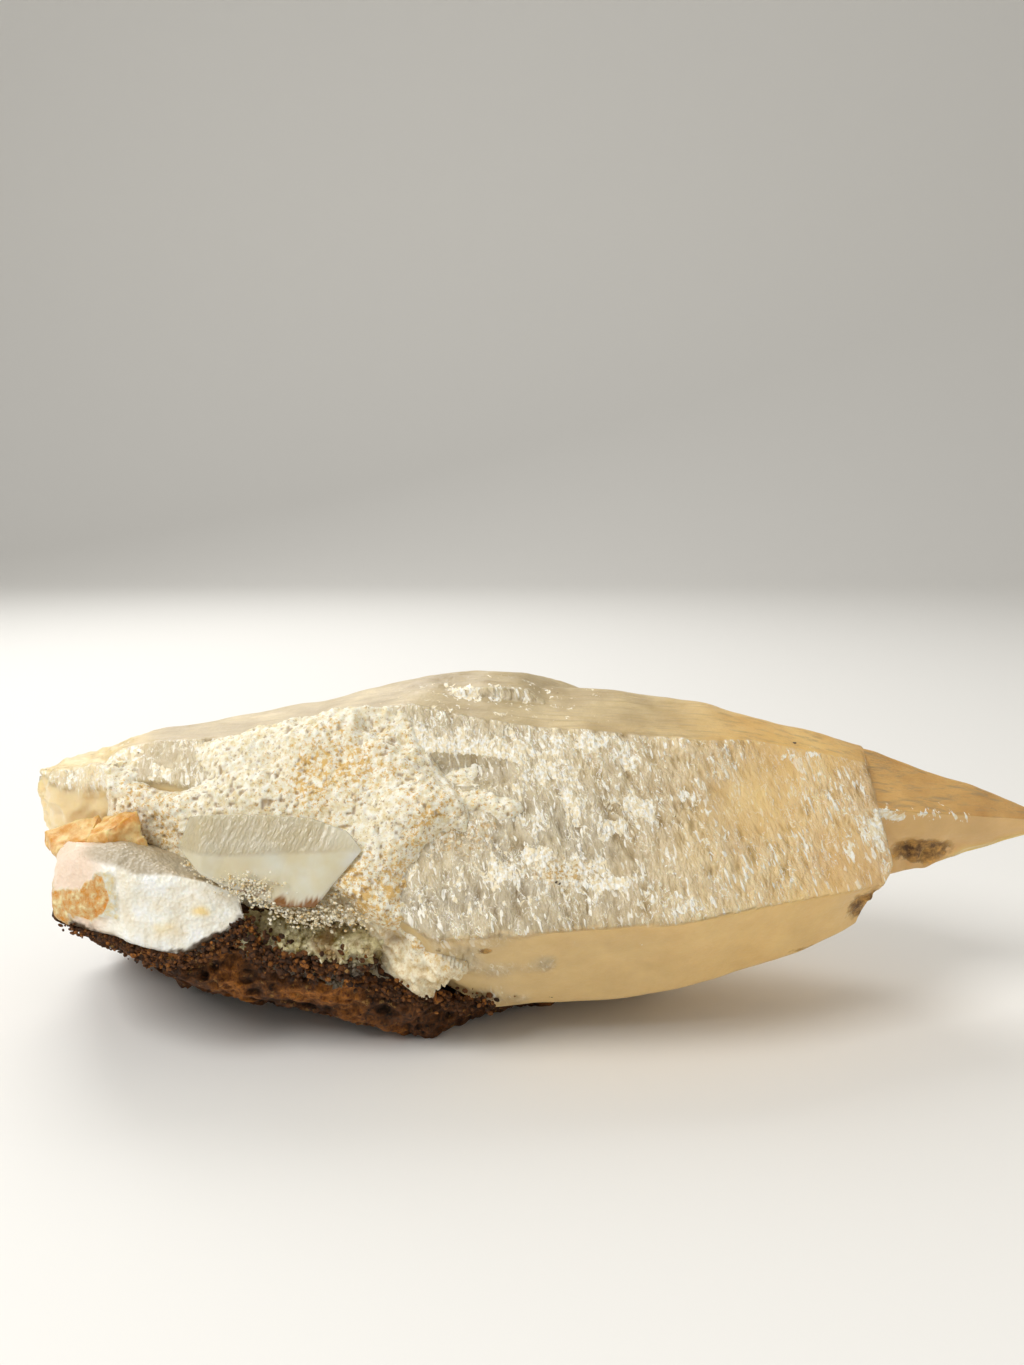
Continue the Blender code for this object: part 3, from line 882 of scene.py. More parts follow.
def kept_clear(reach, origins, outward, least, gap, *others):
    """Reaches cut short a gap before the big crystal, and before the others.

    Each of the others is a row of faces, heart and gap. A reach becomes the smaller of itself
    and the way in to the neighbour less the gap, but never less than least.
    """
    neighbours = [(faces, HEART, gap) for faces in BIG_CRYSTAL[:3]] + list(others)
    for faces, heart, space in neighbours:
        reach = np.minimum(reach, np.maximum(way_in(faces, heart, origins, outward) - space, least))
    return reach


spar_ends, origins, outward, spar_reach = block_rays(SPAR_FACES, SPAR_HEART, 210, 240, 17.0)
spar_reach = kept_clear(spar_reach, origins, outward, 0.5, GAP, (SIDE_FACES, SIDE_HEART, GAP))
bare = moved(origins, outward, spar_reach)
spar_normals = grid_normals(bare)

# %% Relief and peel of the spar
cleaved = np.round(1.5 * heights(bare * (0.7, 1, 1.3), 6.0, 79)) / 1.5
spar_relief = 0.9 * heights(bare, 12.0, 7) + 0.3 * heights(bare, 4.0, 72)
spar_relief += 0.16 * heights(bare, 1.0, 71) + 0.22 * cleaved
# The peel lies in a band that falls to the left, with a higher lobe at its right end.
peel_field = spot(bare, (-106, -34, 37), (10, 14, 3.6)) + 0.9 * spot(bare, (-98, -37, 41), (4, 14, 4.0))
peel_field = np.maximum(peel_field, spot(bare, (-111, -31, 33.5), (6, 14, 4)))
peel_field += 0.22 * heights(bare, 3.4, 73) + 0.12 * heights(bare, 1.3, 74)
peel = ease(peel_field, 0.46, 0.52)
torn = ease(peel_field - 0.5 * spot(bare, (-96.5, -38, 40), (2.6, 14, 7)), 0.47, 0.56)
flakes = np.round(2.5 * heights(bare * (0.6, 0.6, 1), 2.0, 75)) / 2.5
spar_relief += 0.7 * peel - torn * (0.35 - 0.35 * flakes) + 0.12 * peel * heights(bare, 0.9, 80)
spar_grid = moved(bare, spar_normals, tapered(spar_relief, spar_reach, 3))

# %% Masks of the spar
sx, _, sz = np.moveaxis(spar_grid, -1, 0)
low_line = np.interp(sx, (-115, -105, -95, -87, -80, -72, -66), (34.5, 31.5, 28.8, 26.4, 27.2, 31.2, 35.0))
ragged_line = 1.8 * heights(spar_grid, 3.0, 76) + 1.2 * heights(spar_grid, 1.0, 90)
dirt = 1 - ease(sz - low_line + ragged_line, 0.2, 1.4)
glassy = ease(turn_of(spar_normals) + 14 * heights(spar_grid, 5.0, 77), 28, 48) * ease(sx, -107, -100)
pinkish = 1 - ease(sx + 3 * heights(spar_grid, 6.0, 78), -104, -94)
yellow = spots(spar_grid, ((-76, -40, 36.5, 2.4, 9, 1.0, 1.0), (-84, -41, 33, 2.4, 9, 1.4, 0.7)))
yellow = np.clip(yellow * (1 + 0.8 * heights(spar_grid, 1.6, 89)), 0, 1)
spar_masks = {"peel": peel, "torn": torn * peel, "dirt": dirt, "glassy": glassy}
spar_masks |= {"pinkish": pinkish, "yellow": yellow}
spar_piece = skin("white_spar_block_sugary", spar_grid, spar_ends, spar_masks)

# %% [markdown]
# Sugary calcite: packed grains under a millimetre wide, each with its own cleavage. They scatter
# the light, so the stone is white and a little deep, with a satin shine and no mirror glints.

# %% Material: sugary white calcite
sugary_calcite, add, place, masks = new_material("sugary_white_calcite", spar_masks)
cloud = add("noise", place, Scale=grains(5), Detail=7.0, Roughness=0.65)
cloud = add("range", cloud, 0.34, 0.62)
body = add("mix", cloud, "#EAE0C8", "#FFFEF5")
TINTS = (
    (masks.pinkish, 0.85, "#F0D5BC"),
    (masks.glassy, 0.85, "#AD9C7C"),
    (masks.yellow, 0.75, "#F6D37A"),
    (masks.dirt, 0.95, "#4E3818"),
)
for mask, share, tint in TINTS:
    body = add("mix", add("times", mask, share), body, tint)
# The peel is cream where it is whole and rust-orange, in flakes, where it is torn.
flaky = add("noise", place, Scale=grains(1.6), Detail=6.0, Roughness=0.7)
flaky = add("range", flaky, 0.38, 0.62)
ochre = add("mix", flaky, "#EA9A30", "#FFE4AA")
cream = add("mix", flaky, "#F8DDA0", "#FFFCEE")
skin_tone = add("mix", masks.torn, cream, ochre)
body = add("mix", masks.peel, body, skin_tone)
grain = add("cells", place, Scale=grains(0.8))
bump = add("bump", Height=grain, Strength=0.8, Distance=0.3 * MM)
bump = add("bump", Height=flaky, Strength=masks.peel, Distance=0.5 * MM, Normal=bump)
gloss = add("range", masks.peel, To_Min=0.4, To_Max=0.9)
finish_material(
    sugary_calcite,
    Base_Color=body,
    Roughness=gloss,
    Normal=bump,
    IOR=1.6,
    Subsurface_Weight=0.45,
    Subsurface_Radius=(1.0, 0.9, 0.75),
    Subsurface_Scale=0.002,
)
dress(spar_piece, sugary_calcite, "white_spar_block")

# %% [markdown]
# The crust is sand-sized calcite grains, cemented over the front crystal after it had grown. It
# is modelled as a closed shell: the loop runs over its outer skin and back underneath, inside
# the crystal. Where it thins out to nothing its skin dips below the crystal's, so the ragged
# edge between them draws itself. A mask would only colour it, and it is a real layer.

# %% Faces of the crust
CRUST_PLATE = (
    (34, -2, 33.0),
    (43, -11.6, 43.2),
    (80, -13, 43.8),
    (-27.5, -1.7, 40.6),
    (-40, -18, 44.0),
    (-15, -62, 89.0),
    (81, 48.6, 3.5),
    (-90, 47.5, -10.8),
    (0, 82, -6.0),
    (-80, -10, 27.0),
    (180, 0, -10.0),
)
CRUST_BAND = (
    (-25, 0, 42.2),
    (-45, 6, 43.0),
    (90, 27.4, -20.4),
    (90, 0, -8.0),
    (0, -80, 41.0),
    (-85, -5, 34.0),
    (180, 0, -15.0),
)
CRUST_ROWS, CRUST_COLUMNS = 300, 290
CRUST_LEFT, CRUST_RIGHT = -107.5, -3.0
CRUST_LOW, CRUST_HIGH = math.radians(-88), math.radians(104)
# A neighbour cuts the crust short only if it comes this near to the crust's skin.
NEAR = 0.4


def plate_reach(faces, origins, directions):
    """How far out the far side of a plate lies, or 0 where a ray misses it. It doesn't hold the heart."""
    enter, leave = span_in(faces, HEART, origins, directions)
    return np.where(enter < leave, leave, 0.0)


def stop_at(reach, least, faces, heart, origins, directions):
    """Reach cut short where a neighbour stands out beyond least, to end a gap before its back."""
    enter, leave = span_in(faces, heart, origins, directions, KNIFE_SHARP)
    blocked = (enter < leave) & (leave > np.maximum(least, reach - NEAR))
    return np.where(blocked, np.minimum(reach, np.maximum(enter - GAP, least - 1)), reach)


# %% Skin of the crust
crust_stations = np.linspace(CRUST_LEFT, CRUST_RIGHT, CRUST_ROWS)
crust_turns = np.linspace(CRUST_LOW, CRUST_HIGH, CRUST_COLUMNS)
origins, outward = loops_of_rays(CRYSTAL_PATH, crust_stations, crust_turns)
under = reach_of(BIG_CRYSTAL, HEART, origins, outward)
under_points = moved(origins, outward, under)
ribbed = heights(rib_space(under_points, 0.25, 0.25), 5.5, 11)
under = under + 0.9 * heights(under_points, 19.0, 3) + 0.55 * ribbed
# The crust's random numbers are read where its skin is likely to be.
LIKELY_THICKNESS = 1.5
over = under_points + outward * LIKELY_THICKNESS
over_x, over_y, over_z = np.moveaxis(over, -1, 0)


def wedge(faces, slope):
    """How thick the crust may be near its rim: slope times the distance inside the rim's faces.

    The distance is reach less offset times normal, and slow and quick random numbers move the
    rim in and out.
    """
    normals, reach = face_planes(faces)
    inside = (reach - (over - HEART) @ normals.T).min(axis=-1)
    return slope * (inside + 3.2 * heights(over, 8.0, 87) + 1.7 * heights(over, 2.6, 88))


plate = np.minimum(plate_reach(CRUST_PLATE, origins, outward) - under, wedge(CRUST_PLATE[6:9], 0.34))
banding = np.minimum(plate_reach(CRUST_BAND, origins, outward) - under, wedge(CRUST_BAND[2:3], 0.6) + 0.8)
thickness = np.clip(np.maximum(plate, banding), -2.5, 6)

# %% Thick and thin places of the crust
CRUST_SPOTS = (
    # centre x, y, z, then size x, y, z, then how much thicker in millimetres, or thinner below zero
    (-88, -22, 62.5, 10, 9, 6, -9.0),
    (-29, -39, 45, 5, 9, 7, -3.5),
    (-21, -38, 24, 5, 9, 3, 2.4),
    (-63, -24, 64, 3, 9, 2, -1.5),
    (-22, -37, 49, 6, 9, 5, -3.6),
    (-24, -41, 40, 6, 9, 6, -1.8),
    (-37, -41, 35, 5, 9, 4, 2.2),
    (-46, -41, 31, 5, 9, 4.5, 5.0),
    (-10, -38, 16, 9, 12, 5.0, -6.0),
    (-27, -26, 57.5, 7, 9, 4.6, 4.6),
    (-16, -26, 58.2, 6.5, 9, 3.4, 4.8),
    (-8.5, -28, 57, 4, 9, 2.6, 4.2),
    (-45, -19, 71.5, 1.6, 9, 5.5, 1.3),
)
thickness = thickness + spots(over, CRUST_SPOTS)
# The band ends in a tongue: below its lower edge, and past its tip, the crust is gone.
torn_edge = 0.9 * heights(over, 2.4, 102) + 0.5 * heights(over, 1.0, 103)
tongue_low = np.interp(over_x, (-50, -43, -35, -30, -22, -17), (7.0, 22.0, 18.0, 17.0, 19.0, 22.0))
past_tip = ease(over_x + torn_edge, -18.5, -16.5) * (1 - ease(over_z, 28, 32))
gone = np.maximum(1 - ease(over_z - tongue_low + torn_edge, -0.8, 0.6), past_tip)
MORE_THAN_THICK = 9
thickness = thickness - MORE_THAN_THICK * gone

# %% Lumps, folds and pits of the crust
lumps = 1.1 * heights(over, 11.0, 5) + 0.6 * heights(over, 5.0, 6)
ragged = 0.8 * heights(over, 3.6, 81) + 0.5 * heights(over, 1.5, 82)
band = 1 - ease(over_z + 0.5 * over_x + 3 * heights(over, 8.0, 83), 9, 16)
band = band * ease(over_x, -60, -50)
# The folds of the band run down to the right, so space is squeezed along that direction.
fold_along = over @ np.array((0.88, 0, -0.47))
fold_across = over @ np.array((0.47, 0, 0.88)) + 1.6 * heights(over, 5.0, 96)
fold_space = np.stack([0.16 * fold_along, 0.4 * over_y, fold_across], axis=-1)
folds = 1 - 2.8 * np.abs(heights(fold_space, 1.7, 84))
grit = heights(over, 0.9, 85) + 0.5 * heights(over, 2.0, 100)
pit = ease(heights(over, 0.8, 97) + 0.35 * heights(over, 4.0, 98), 0.5, 0.75)
# One knob at the top of the crust is smooth, without grit or pits.
smooth = np.clip(1.4 * spot(over, (-45, -19, 71.5), (2.2, 9, 7)), 0, 1)
thin = 1 - ease(thickness, 1.5, 4.0)
crust_relief = lumps + ragged * (0.65 + 0.35 * thin) + 1.6 * band * folds
crust_relief += (1 - smooth) * (0.36 * grit * (1 - 0.7 * band) - 0.45 * pit * (1 - band))

# %% Edges and inner side of the crust
# Along its four edges the skin drops under the crystal, and the inner side lies deeper still.
crust_reach = under + thickness + crust_relief
crust_reach = stop_at(crust_reach, under, SIDE_FACES, SIDE_HEART, origins, outward)
crust_reach = stop_at(crust_reach, under, SPAR_FACES, SPAR_HEART, origins, outward)
EDGE, DROP, USUAL_REACH = 3, 3, 30
from_edge = np.minimum(crust_turns - CRUST_LOW, CRUST_HIGH - crust_turns) * USUAL_REACH
from_end = np.minimum(crust_stations - CRUST_LEFT, CRUST_RIGHT - crust_stations)
edge_drop = (1 - ease(from_edge, 0, EDGE))[None] + (1 - ease(from_end, 0, EDGE))[:, None]
crust_reach = np.minimum(crust_reach - DROP * edge_drop, np.maximum(crust_reach, under - 1.0))
SHELL = 1.6
inner_reach = np.minimum(crust_reach, under) - SHELL
BACK_COLUMNS = 30
back = np.linspace(CRUST_COLUMNS - 1, 0, BACK_COLUMNS).astype(int)


def there_and_back(front, behind):
    """A whole loop of a grid: all its columns in front, then a few behind, in the opposite order."""
    return np.concatenate([front, behind[:, back]], axis=1)


crust_skin = moved(origins, outward, crust_reach)
crust_grid = there_and_back(crust_skin, moved(origins, outward, inner_reach))
crust_ends = [crust_grid[row].mean(axis=0) for row in (0, -1)]

# %% Masks of the crust
TINT_SPOTS = (
    # centre x, y, z, then size x, y, z, then strength
    (-14, -26, 60, 14, 9, 4, 0.3),
    (-60, -24, 68, 14, 9, 5, 0.15),
    (-38, -42, 42, 8, 9, 8, 0.2),
    (-55, -36, 33, 14, 9, 4, 0.6),
)
tint = 0.5 + 0.5 * heights(crust_grid, 13.0, 86) + spots(crust_grid, TINT_SPOTS)
tint = np.clip(tint * (1 - 0.6 * there_and_back(band, band)), 0, 1.4)
# The pit and fold masks carry a painted shade to the material.
skin_masks = {
    "banded": band,
    "pit": pit * (1 - band),
    "smooth": smooth,
    "fold": band * ease(-folds, -0.4, 0.6),
}
crust_masks = {key: there_and_back(values, values) for key, values in skin_masks.items()} | {"tint": tint}
crust_piece = skin("sandy_crust_grains", crust_grid, crust_ends, crust_masks)

# %% [markdown]
# Calcite sand, cemented: cream grains about half a millimetre wide with a stain of ochre
# between them. It is quite matt. Painted shade in the pits between the grains gives it its
# contrast: the larger pits are in the mesh too, and the finest are only drawn. The troughs of
# the band's folds get the same painted shade. Ochre and bump share a pattern, so the stain
# follows the grains.

# %% Material: cemented calcite sand
calcite_sand, add, place, masks = new_material("cemented_calcite_sand", crust_masks)
sand = add("noise", place, Scale=grains(1.5), Detail=6.0, Roughness=0.72)
sand_light = add("range", sand, 0.36, 0.58)
body = add("mix", sand_light, "#E6D4A4", "#FFFBEA")
tan = add("mix", sand_light, "#D8BC84", "#FFF4D6")
body = add("mix", masks.banded, body, tan)
# Ochre sits between the grains, more so where the crust is tinted.
between = add("noise", place, Scale=grains(0.95), Detail=4.0, Roughness=0.7)
patch = add("noise", place, Scale=grains(4.5), Detail=4.0)
patch = add("times", patch, masks.tint)
ochre = add("times_plus", patch, 0.42, between)
ochre = add("range", ochre, 0.66, 0.76, To_Max=0.85)
body = add("mix", ochre, body, "#DDB058")
holes = add("noise", place, Scale=grains(0.9), Detail=4.0, Roughness=0.7)
holes = add("range", holes, 0.42, 0.36)
# The folded band is a smoother sheet, with fewer holes than the sand.
open_sand = add("range", masks.banded, To_Min=1.0, To_Max=0.3)
holes = add("times", holes, open_sand)
# Painted shade: the pits, the finest holes and the troughs of the band's folds turn deep brown.
shade = add("larger", masks.pit, holes)
shade = add("larger", shade, masks.fold)
not_smooth = add("range", masks.smooth, To_Min=0.58, To_Max=0.2)
shade = add("times", shade, not_smooth)
body = add("mix", shade, body, "#8A5C1C")
bump = add("bump", Height=sand, Strength=0.9, Distance=0.5 * MM)
bump = add("bump", Height=between, Strength=0.7, Distance=0.3 * MM, Normal=bump)
finish_material(
    calcite_sand,
    Base_Color=body,
    Normal=bump,
    Roughness=0.88,
    IOR=1.5,
    Subsurface_Weight=0.2,
    Subsurface_Radius=(1.0, 0.8, 0.5),
    Subsurface_Scale=0.001,
)
dress(crust_piece, calcite_sand, "sandy_crust")

# %% [markdown]
# The host rock is what the vein grew on: broken, iron-stained matrix, dark as coffee with rust
# in its hollows. It is the same kind of profile along a path, low down, and it stops short of
# the crystals that sit in it. It is cut flat at the bottom, where the specimen stands.

# %% Host rock
ROCK_HEART = HEART + (-35.0, 2.0, -28.0)
ROCK_FACES = (
    (-90, 0, 14.0),
    (-62, -24, 27.5),
    (-68, -11, 18.3),
    (-40, -5, 26.0),
    (-35, 25, 31.0),
    (8, -3, 33.5),
    (0, -80, 76.0),
    (90, -2, 19.5),
    (-160, 50, 58.0),
    (180, 0, 31.0),
    (-140, 0, 30.0),
    (-170, -40, 66.0),
)
ROCK_ROWS, ROCK_COLUMNS = 300, 300
rock_ends = (end_corner(ROCK_FACES, ROCK_HEART, -1), np.array((34.3, -0.5, 12.4)))
rock_bends = ((-110, 0, 14), (-80, -4, 10), (-60, -4, 8), (-40, 0, 6), (-10, 4, 5), (15, 5, 5))
rock_low, rock_high = rock_ends[0][0], rock_ends[1][0]
rock_stations = spaced(rock_low + 0.1, rock_high - 0.1, ROCK_ROWS, end_density(rock_low, rock_high))
rock_turns = spaced(-math.pi, math.pi, ROCK_COLUMNS + 1, lambda turn: 1.2 + np.cos(turn))[:-1]
origins, outward = loops_of_rays((rock_ends[0], *rock_bends, rock_ends[1]), rock_stations, rock_turns)
rock_reach = reach_of((ROCK_FACES,), ROCK_HEART, origins, outward, 30.0)
bare = moved(origins, outward, rock_reach)
knobs = 2.2 * heights(bare, 15.0, 21) + 1.2 * heights(bare, 7.0, 22)
rough = 1.3 * heights(bare, 3.4, 91) + 1.0 * (1 - 2 * np.abs(heights(bare, 2.3, 92)))
crumbly = 0.7 * heights(bare, 1.2, 93) - 1.2 * ease(heights(bare, 4.6, 99), 0.3, 0.5)
rock_reach = rock_reach + tapered(knobs + rough + crumbly, rock_reach, 5)
settled = ((SPAR_FACES, SPAR_HEART, 0.2), (SIDE_FACES, SIDE_HEART, 0.6))
rock_reach = kept_clear(rock_reach, origins, outward, 1.0, 1.2, *settled)
rock_grid = moved(origins, outward, rock_reach)
rock_grid[..., 2] = np.maximum(rock_grid[..., 2], 0.0)
rust = 0.5 + 0.5 * heights(rock_grid, 9.0, 94)
rust = rust + spots(rock_grid, ((-60, -34, 14, 14, 14, 6, 0.5), (-92, -34, 24, 10, 12, 6, 0.5)))
# The hollows mask carries a painted shade, near black, to the material.
rock_masks = {"rust": np.clip(rust, 0, 1.3), "hollows": 1 - ease(rough + crumbly, -1.4, 0.9)}
rock_piece = skin("host_rock_matrix", rock_grid, rock_ends, rock_masks)

# %% [markdown]
# Limonite-stained matrix. Manganese and iron oxides make it near black on the knobs and
# rust-orange where the clay of weathering stays in the hollows. The deeper hollows are darkened
# further with a painted shade, near black. It is earthy and quite matt.

# %% Material: iron-stained matrix
iron_matrix, add, place, masks = new_material("iron_stained_matrix", rock_masks)
earth = add("noise", place, Scale=grains(4), Detail=8.0, Roughness=0.72)
fine = add("noise", place, Scale=grains(1.3), Detail=6.0, Roughness=0.75)
fine_light = add("range", fine, 0.35, 0.65)
dark = add("mix", fine_light, "#1C0E05", "#90561E")
orange = add("mix", fine_light, "#6A320C", "#F09A3C")
rusting = add("times", earth, masks.rust)
rusted = add("range", rusting, 0.3, 0.5)
body = add("mix", rusted, dark, orange)
clay = add("noise", place, Scale=grains(2.2), Detail=6.0, Roughness=0.7)
clay = add("range", clay, 0.6, 0.66, To_Max=0.85)
body = add("mix", clay, body, "#D6A458")
# Painted shade: the hollows turn near black.
deep = add("times", masks.hollows, 0.75)
body = add("mix", deep, body, "#0D0906")
bump = add("bump", Height=earth, Strength=1.0, Distance=1.2 * MM)
bump = add("bump", Height=fine, Strength=1.0, Distance=1.2 * MM, Normal=bump)
finish_material(iron_matrix, Base_Color=body, Normal=bump, Roughness=0.8, IOR=1.5)
dress(rock_piece, iron_matrix, "host_rock")

# %% [markdown]
# Two broken pieces of amber calcite lie wedged at the left end. Calcite always breaks along
# the same three planes, so they are blocks of flat faces with crisp edges and little steps.

# %% Cleavage shards
SHARD_FACES = (
    (0, -10, 6.0),
    (75, -20, 6.5),
    (-60, 12, 6.0),
    (35, 55, 8.0),
    (180, 12, 7.5),
    (-70, -50, 7.0),
    (10, -75, 9.0),
)
SHARDS = (
    # name, place from the heart of the big crystal, turn seen from above in degrees
    ("cleavage_shard_left", (-101.5, -18.0, 2.5), 20.0),
    ("cleavage_shard_upper", (-92.0, -23.0, 6.0), -25.0),
)
SHARD_SIZE = 0.62
shard_faces = [(turn, lean, reach * SHARD_SIZE) for turn, lean, reach in SHARD_FACES]
shard_ends, origins, outward, shard_reach = block_rays(shard_faces, np.zeros(3), 90, 90, 40.0, 0.02, 1.5)
bare = moved(origins, outward, shard_reach)
shard_relief = 0.4 * heights(bare, 5.0, 23) + 0.3 * np.round(2 * heights(bare * (0.3, 1, 1), 2.2, 24))
shard_relief += 0.3 * heights(bare, 2.6, 25) + 0.15 * heights(bare, 1.1, 26)
shard_grid = moved(bare, grid_normals(bare), tapered(shard_relief, shard_reach, 2))
shard_pieces = []
for name, offset, spin in SHARDS:
    cosine, sine = math.cos(math.radians(spin)), math.sin(math.radians(spin))
    turned = np.array(((cosine, sine, 0), (-sine, cosine, 0), (0, 0, 1)))
    grid, ends = (points @ turned + HEART + offset for points in (shard_grid, shard_ends))
    shard_pieces.append(skin(name + "_amber", grid, ends))

# %% [markdown]
# Amber cleavage calcite. Fresh breaks are a little glossy, and iron in thin films between the
# cleavage sheets turns cream to amber in zones, so the two colours follow a slow noise.

# %% Material: amber cleavage calcite
amber_calcite, add, place, _ = new_material("amber_cleavage_calcite")
zones = add("noise", place, Scale=grains(4), Detail=6.0, Roughness=0.6)
cream = add("range", zones, 0.4, 0.62)
body = add("mix", cream, "#D8983A", "#F4D696")
cracks = add("noise", place, Scale=grains(1.6), Detail=5.0, Roughness=0.7)
cracked = add("range", cracks, 0.36, 0.3, To_Max=0.7)
body = add("mix", cracked, body, "#8A5A22")
bump = add("bump", Height=cracks, Strength=0.8, Distance=0.6 * MM)
finish_material(
    amber_calcite,
    Base_Color=body,
    Normal=bump,
    IOR=1.6,
    Roughness=0.35,
    Subsurface_Weight=0.5,
    Subsurface_Radius=(1.0, 0.7, 0.35),
    Subsurface_Scale=0.002,
)
for piece, (name, *_) in zip(shard_pieces, SHARDS):
    dress(piece, amber_calcite, name)

# %% [markdown]
# Under the side crystal a druse of small grey-green crystals lines a pocket. It is a mound of
# small dogteeth. They all have the same few faces, so one is worked out and copied with a
# random tilt and size, and the copies are joined in one mesh.

# %% Druse
DRUSE_HEART = HEART + (-46.0, -24.0, -16.0)
DRUSE_MOUND = (
    (60, -3.7, 7.8),
    (88, 4, 5.2),
    (-14, -3.8, 11.6),
    (-68, -15, 8.6),
    (-69, 33, 13.5),
    (-54, 64, 17.0),
    (82, 44, 14.3),
    (20, -42, 15.6),
    (-40, -30, 11.6),
    (180, 0, 11.2),
    (0, -80, 17.2),
)
mound_ends, origins, outward, mound_reach = block_rays(DRUSE_MOUND, DRUSE_HEART, 110, 110, 30.0)
mound_reach = kept_clear(mound_reach, origins, outward, 0.5, GAP, (SIDE_FACES, SIDE_HEART, 0.6))
mound = moved(origins, outward, mound_reach)
lumpy = 0.9 * heights(mound, 3.2, 95) + 0.5 * heights(mound, 1.4, 94)
mound = moved(mound, grid_normals(mound), lumpy)
mound_piece = skin("druse_small_crystals", mound, mound_ends)


# %% Teeth of the druse
def dogtooth(count=6):
    """One small scalenohedron of unit half length: two points, and a zigzag belt of six corners."""
    ring = np.arange(count)
    turns = ring * math.tau / count
    belt = np.stack([0.6 * np.cos(turns), 0.6 * np.sin(turns), 0.14 * (-1) ** ring], axis=-1)
    corners = np.concatenate([belt, [(0, 0, 1), (0, 0, -1)]])
    after = (ring + 1) % count
    top = np.stack([ring, after, np.full(count, count)], axis=-1)
    low = np.stack([after, ring, np.full(count, count + 1)], axis=-1)
    return corners, np.concatenate([top, low])


def scatter(corners, faces, centres, axes, sizes):
    """Copies of a small shape, turned to their axes.

    Each point is centre + size (a u + b v + c axis), where u and v are square to the axis.
    """
    slanting = (0.3, 0.5, 0.8)
    side = unit(np.cross(axes, slanting))
    basis = np.stack([side, np.cross(axes, side), axes], axis=1)
    points = centres[:, None] + sizes[:, None, None] * np.einsum("kc,ncd->nkd", corners, basis)
    offsets = np.arange(len(centres))[:, None, None] * len(corners)
    return points.reshape(-1, 3), (faces[None] + offsets).reshape(-1, 3)


TEETH = 420
numbers = np.random.default_rng(4)
facing_us = (mound[..., 1] < DRUSE_HEART[1] - 3) & (mound[..., 2] < DRUSE_HEART[2] + 10)
chosen = numbers.choice(facing_us.sum(), TEETH, replace=False)
axes = unit(grid_normals(mound)[facing_us][chosen] + numbers.normal(0, 0.45, (TEETH, 3)))
tooth_sizes = numbers.uniform(0.6, 1.5, TEETH)
teeth_points, teeth_faces = scatter(*dogtooth(), mound[facing_us][chosen], axes, tooth_sizes)
teeth_piece = new_piece("druse_teeth", teeth_points * MM, teeth_faces.tolist())

# %% [markdown]
# Grey-green druse: clear calcite with chlorite and clay in it. A little light goes through it,
# more scatters inside, patches of mud lie on it, and the teeth turn dark brown towards the bottom.

# %% Material: grey-green druse
green_druse, add, place, _ = new_material("grey_green_druse")
film = add("noise", place, Scale=grains(2.2), Detail=6.0, Roughness=0.7)
tones = add("range", film, 0.38, 0.64)
body = add("mix", tones, "#94803E", "#FFF6C8")
mud_noise = add("noise", place, Scale=grains(5), Detail=4.0)
mud = add("range", mud_noise, 0.5, 0.66, To_Max=0.7)
body = add("mix", mud, body, "#96682C")
# The teeth turn dark brown towards the bottom, up to 25 mm or so above the foot, higher in some places.
height = add("split", place, output="Z")
height = add("times_plus", mud_noise, 12 * MM, height)
root = add("range", height, 31.5 * MM, 29.0 * MM, To_Max=0.9)
body = add("mix", root, body, "#3C2410")
bump = add("bump", Height=film, Strength=0.8, Distance=0.5 * MM)
finish_material(
    green_druse,
    Base_Color=body,
    Normal=bump,
    IOR=1.6,
    Roughness=0.28,
    Transmission_Weight=0.1,
    Subsurface_Weight=0.3,
    Subsurface_Radius=(0.9, 1.0, 0.7),
    Subsurface_Scale=0.0015,
)
dress(mound_piece, green_druse, "druse")
dress(teeth_piece, green_druse, "druse")

# %% [markdown]
# Where two minerals meet there are crumbs: sand of the crust along the lower edge of the side
# crystal, and dark grains of the matrix along the foot of the spar and of the druse. Each crumb
# is a pebble of 36 faces. They are strewn along a few lines by random numbers, so that no joint
# looks cut.


# %% Pebbles and lines of them
def pebble(count=6):
    """A round pebble of unit size: three staggered rings of points, and a point at each end."""
    here = np.arange(count)
    turns = here * math.tau / count
    rings = []
    for level, size, shift in ((-0.55, 0.75, 0.0), (0.05, 1.0, 0.5), (0.6, 0.7, 0.0)):
        ring = [size * np.cos(turns + shift), size * np.sin(turns + shift), np.full(count, level)]
        rings.append(np.stack(ring, axis=-1))
    corners = np.concatenate(rings + [[(0, 0, -0.9), (0, 0, 0.9)]])
    after = (here + 1) % count
    faces = []
    for low in (0, count):
        faces.append(np.stack([low + here, low + after, low + count + here], axis=-1))
        faces.append(np.stack([low + after, low + count + after, low + count + here], axis=-1))
    faces.append(np.stack([after, here, np.full(count, 3 * count)], axis=-1))
    faces.append(np.stack([2 * count + here, 2 * count + after, np.full(count, 3 * count + 1)], axis=-1))
    return corners, np.concatenate(faces)


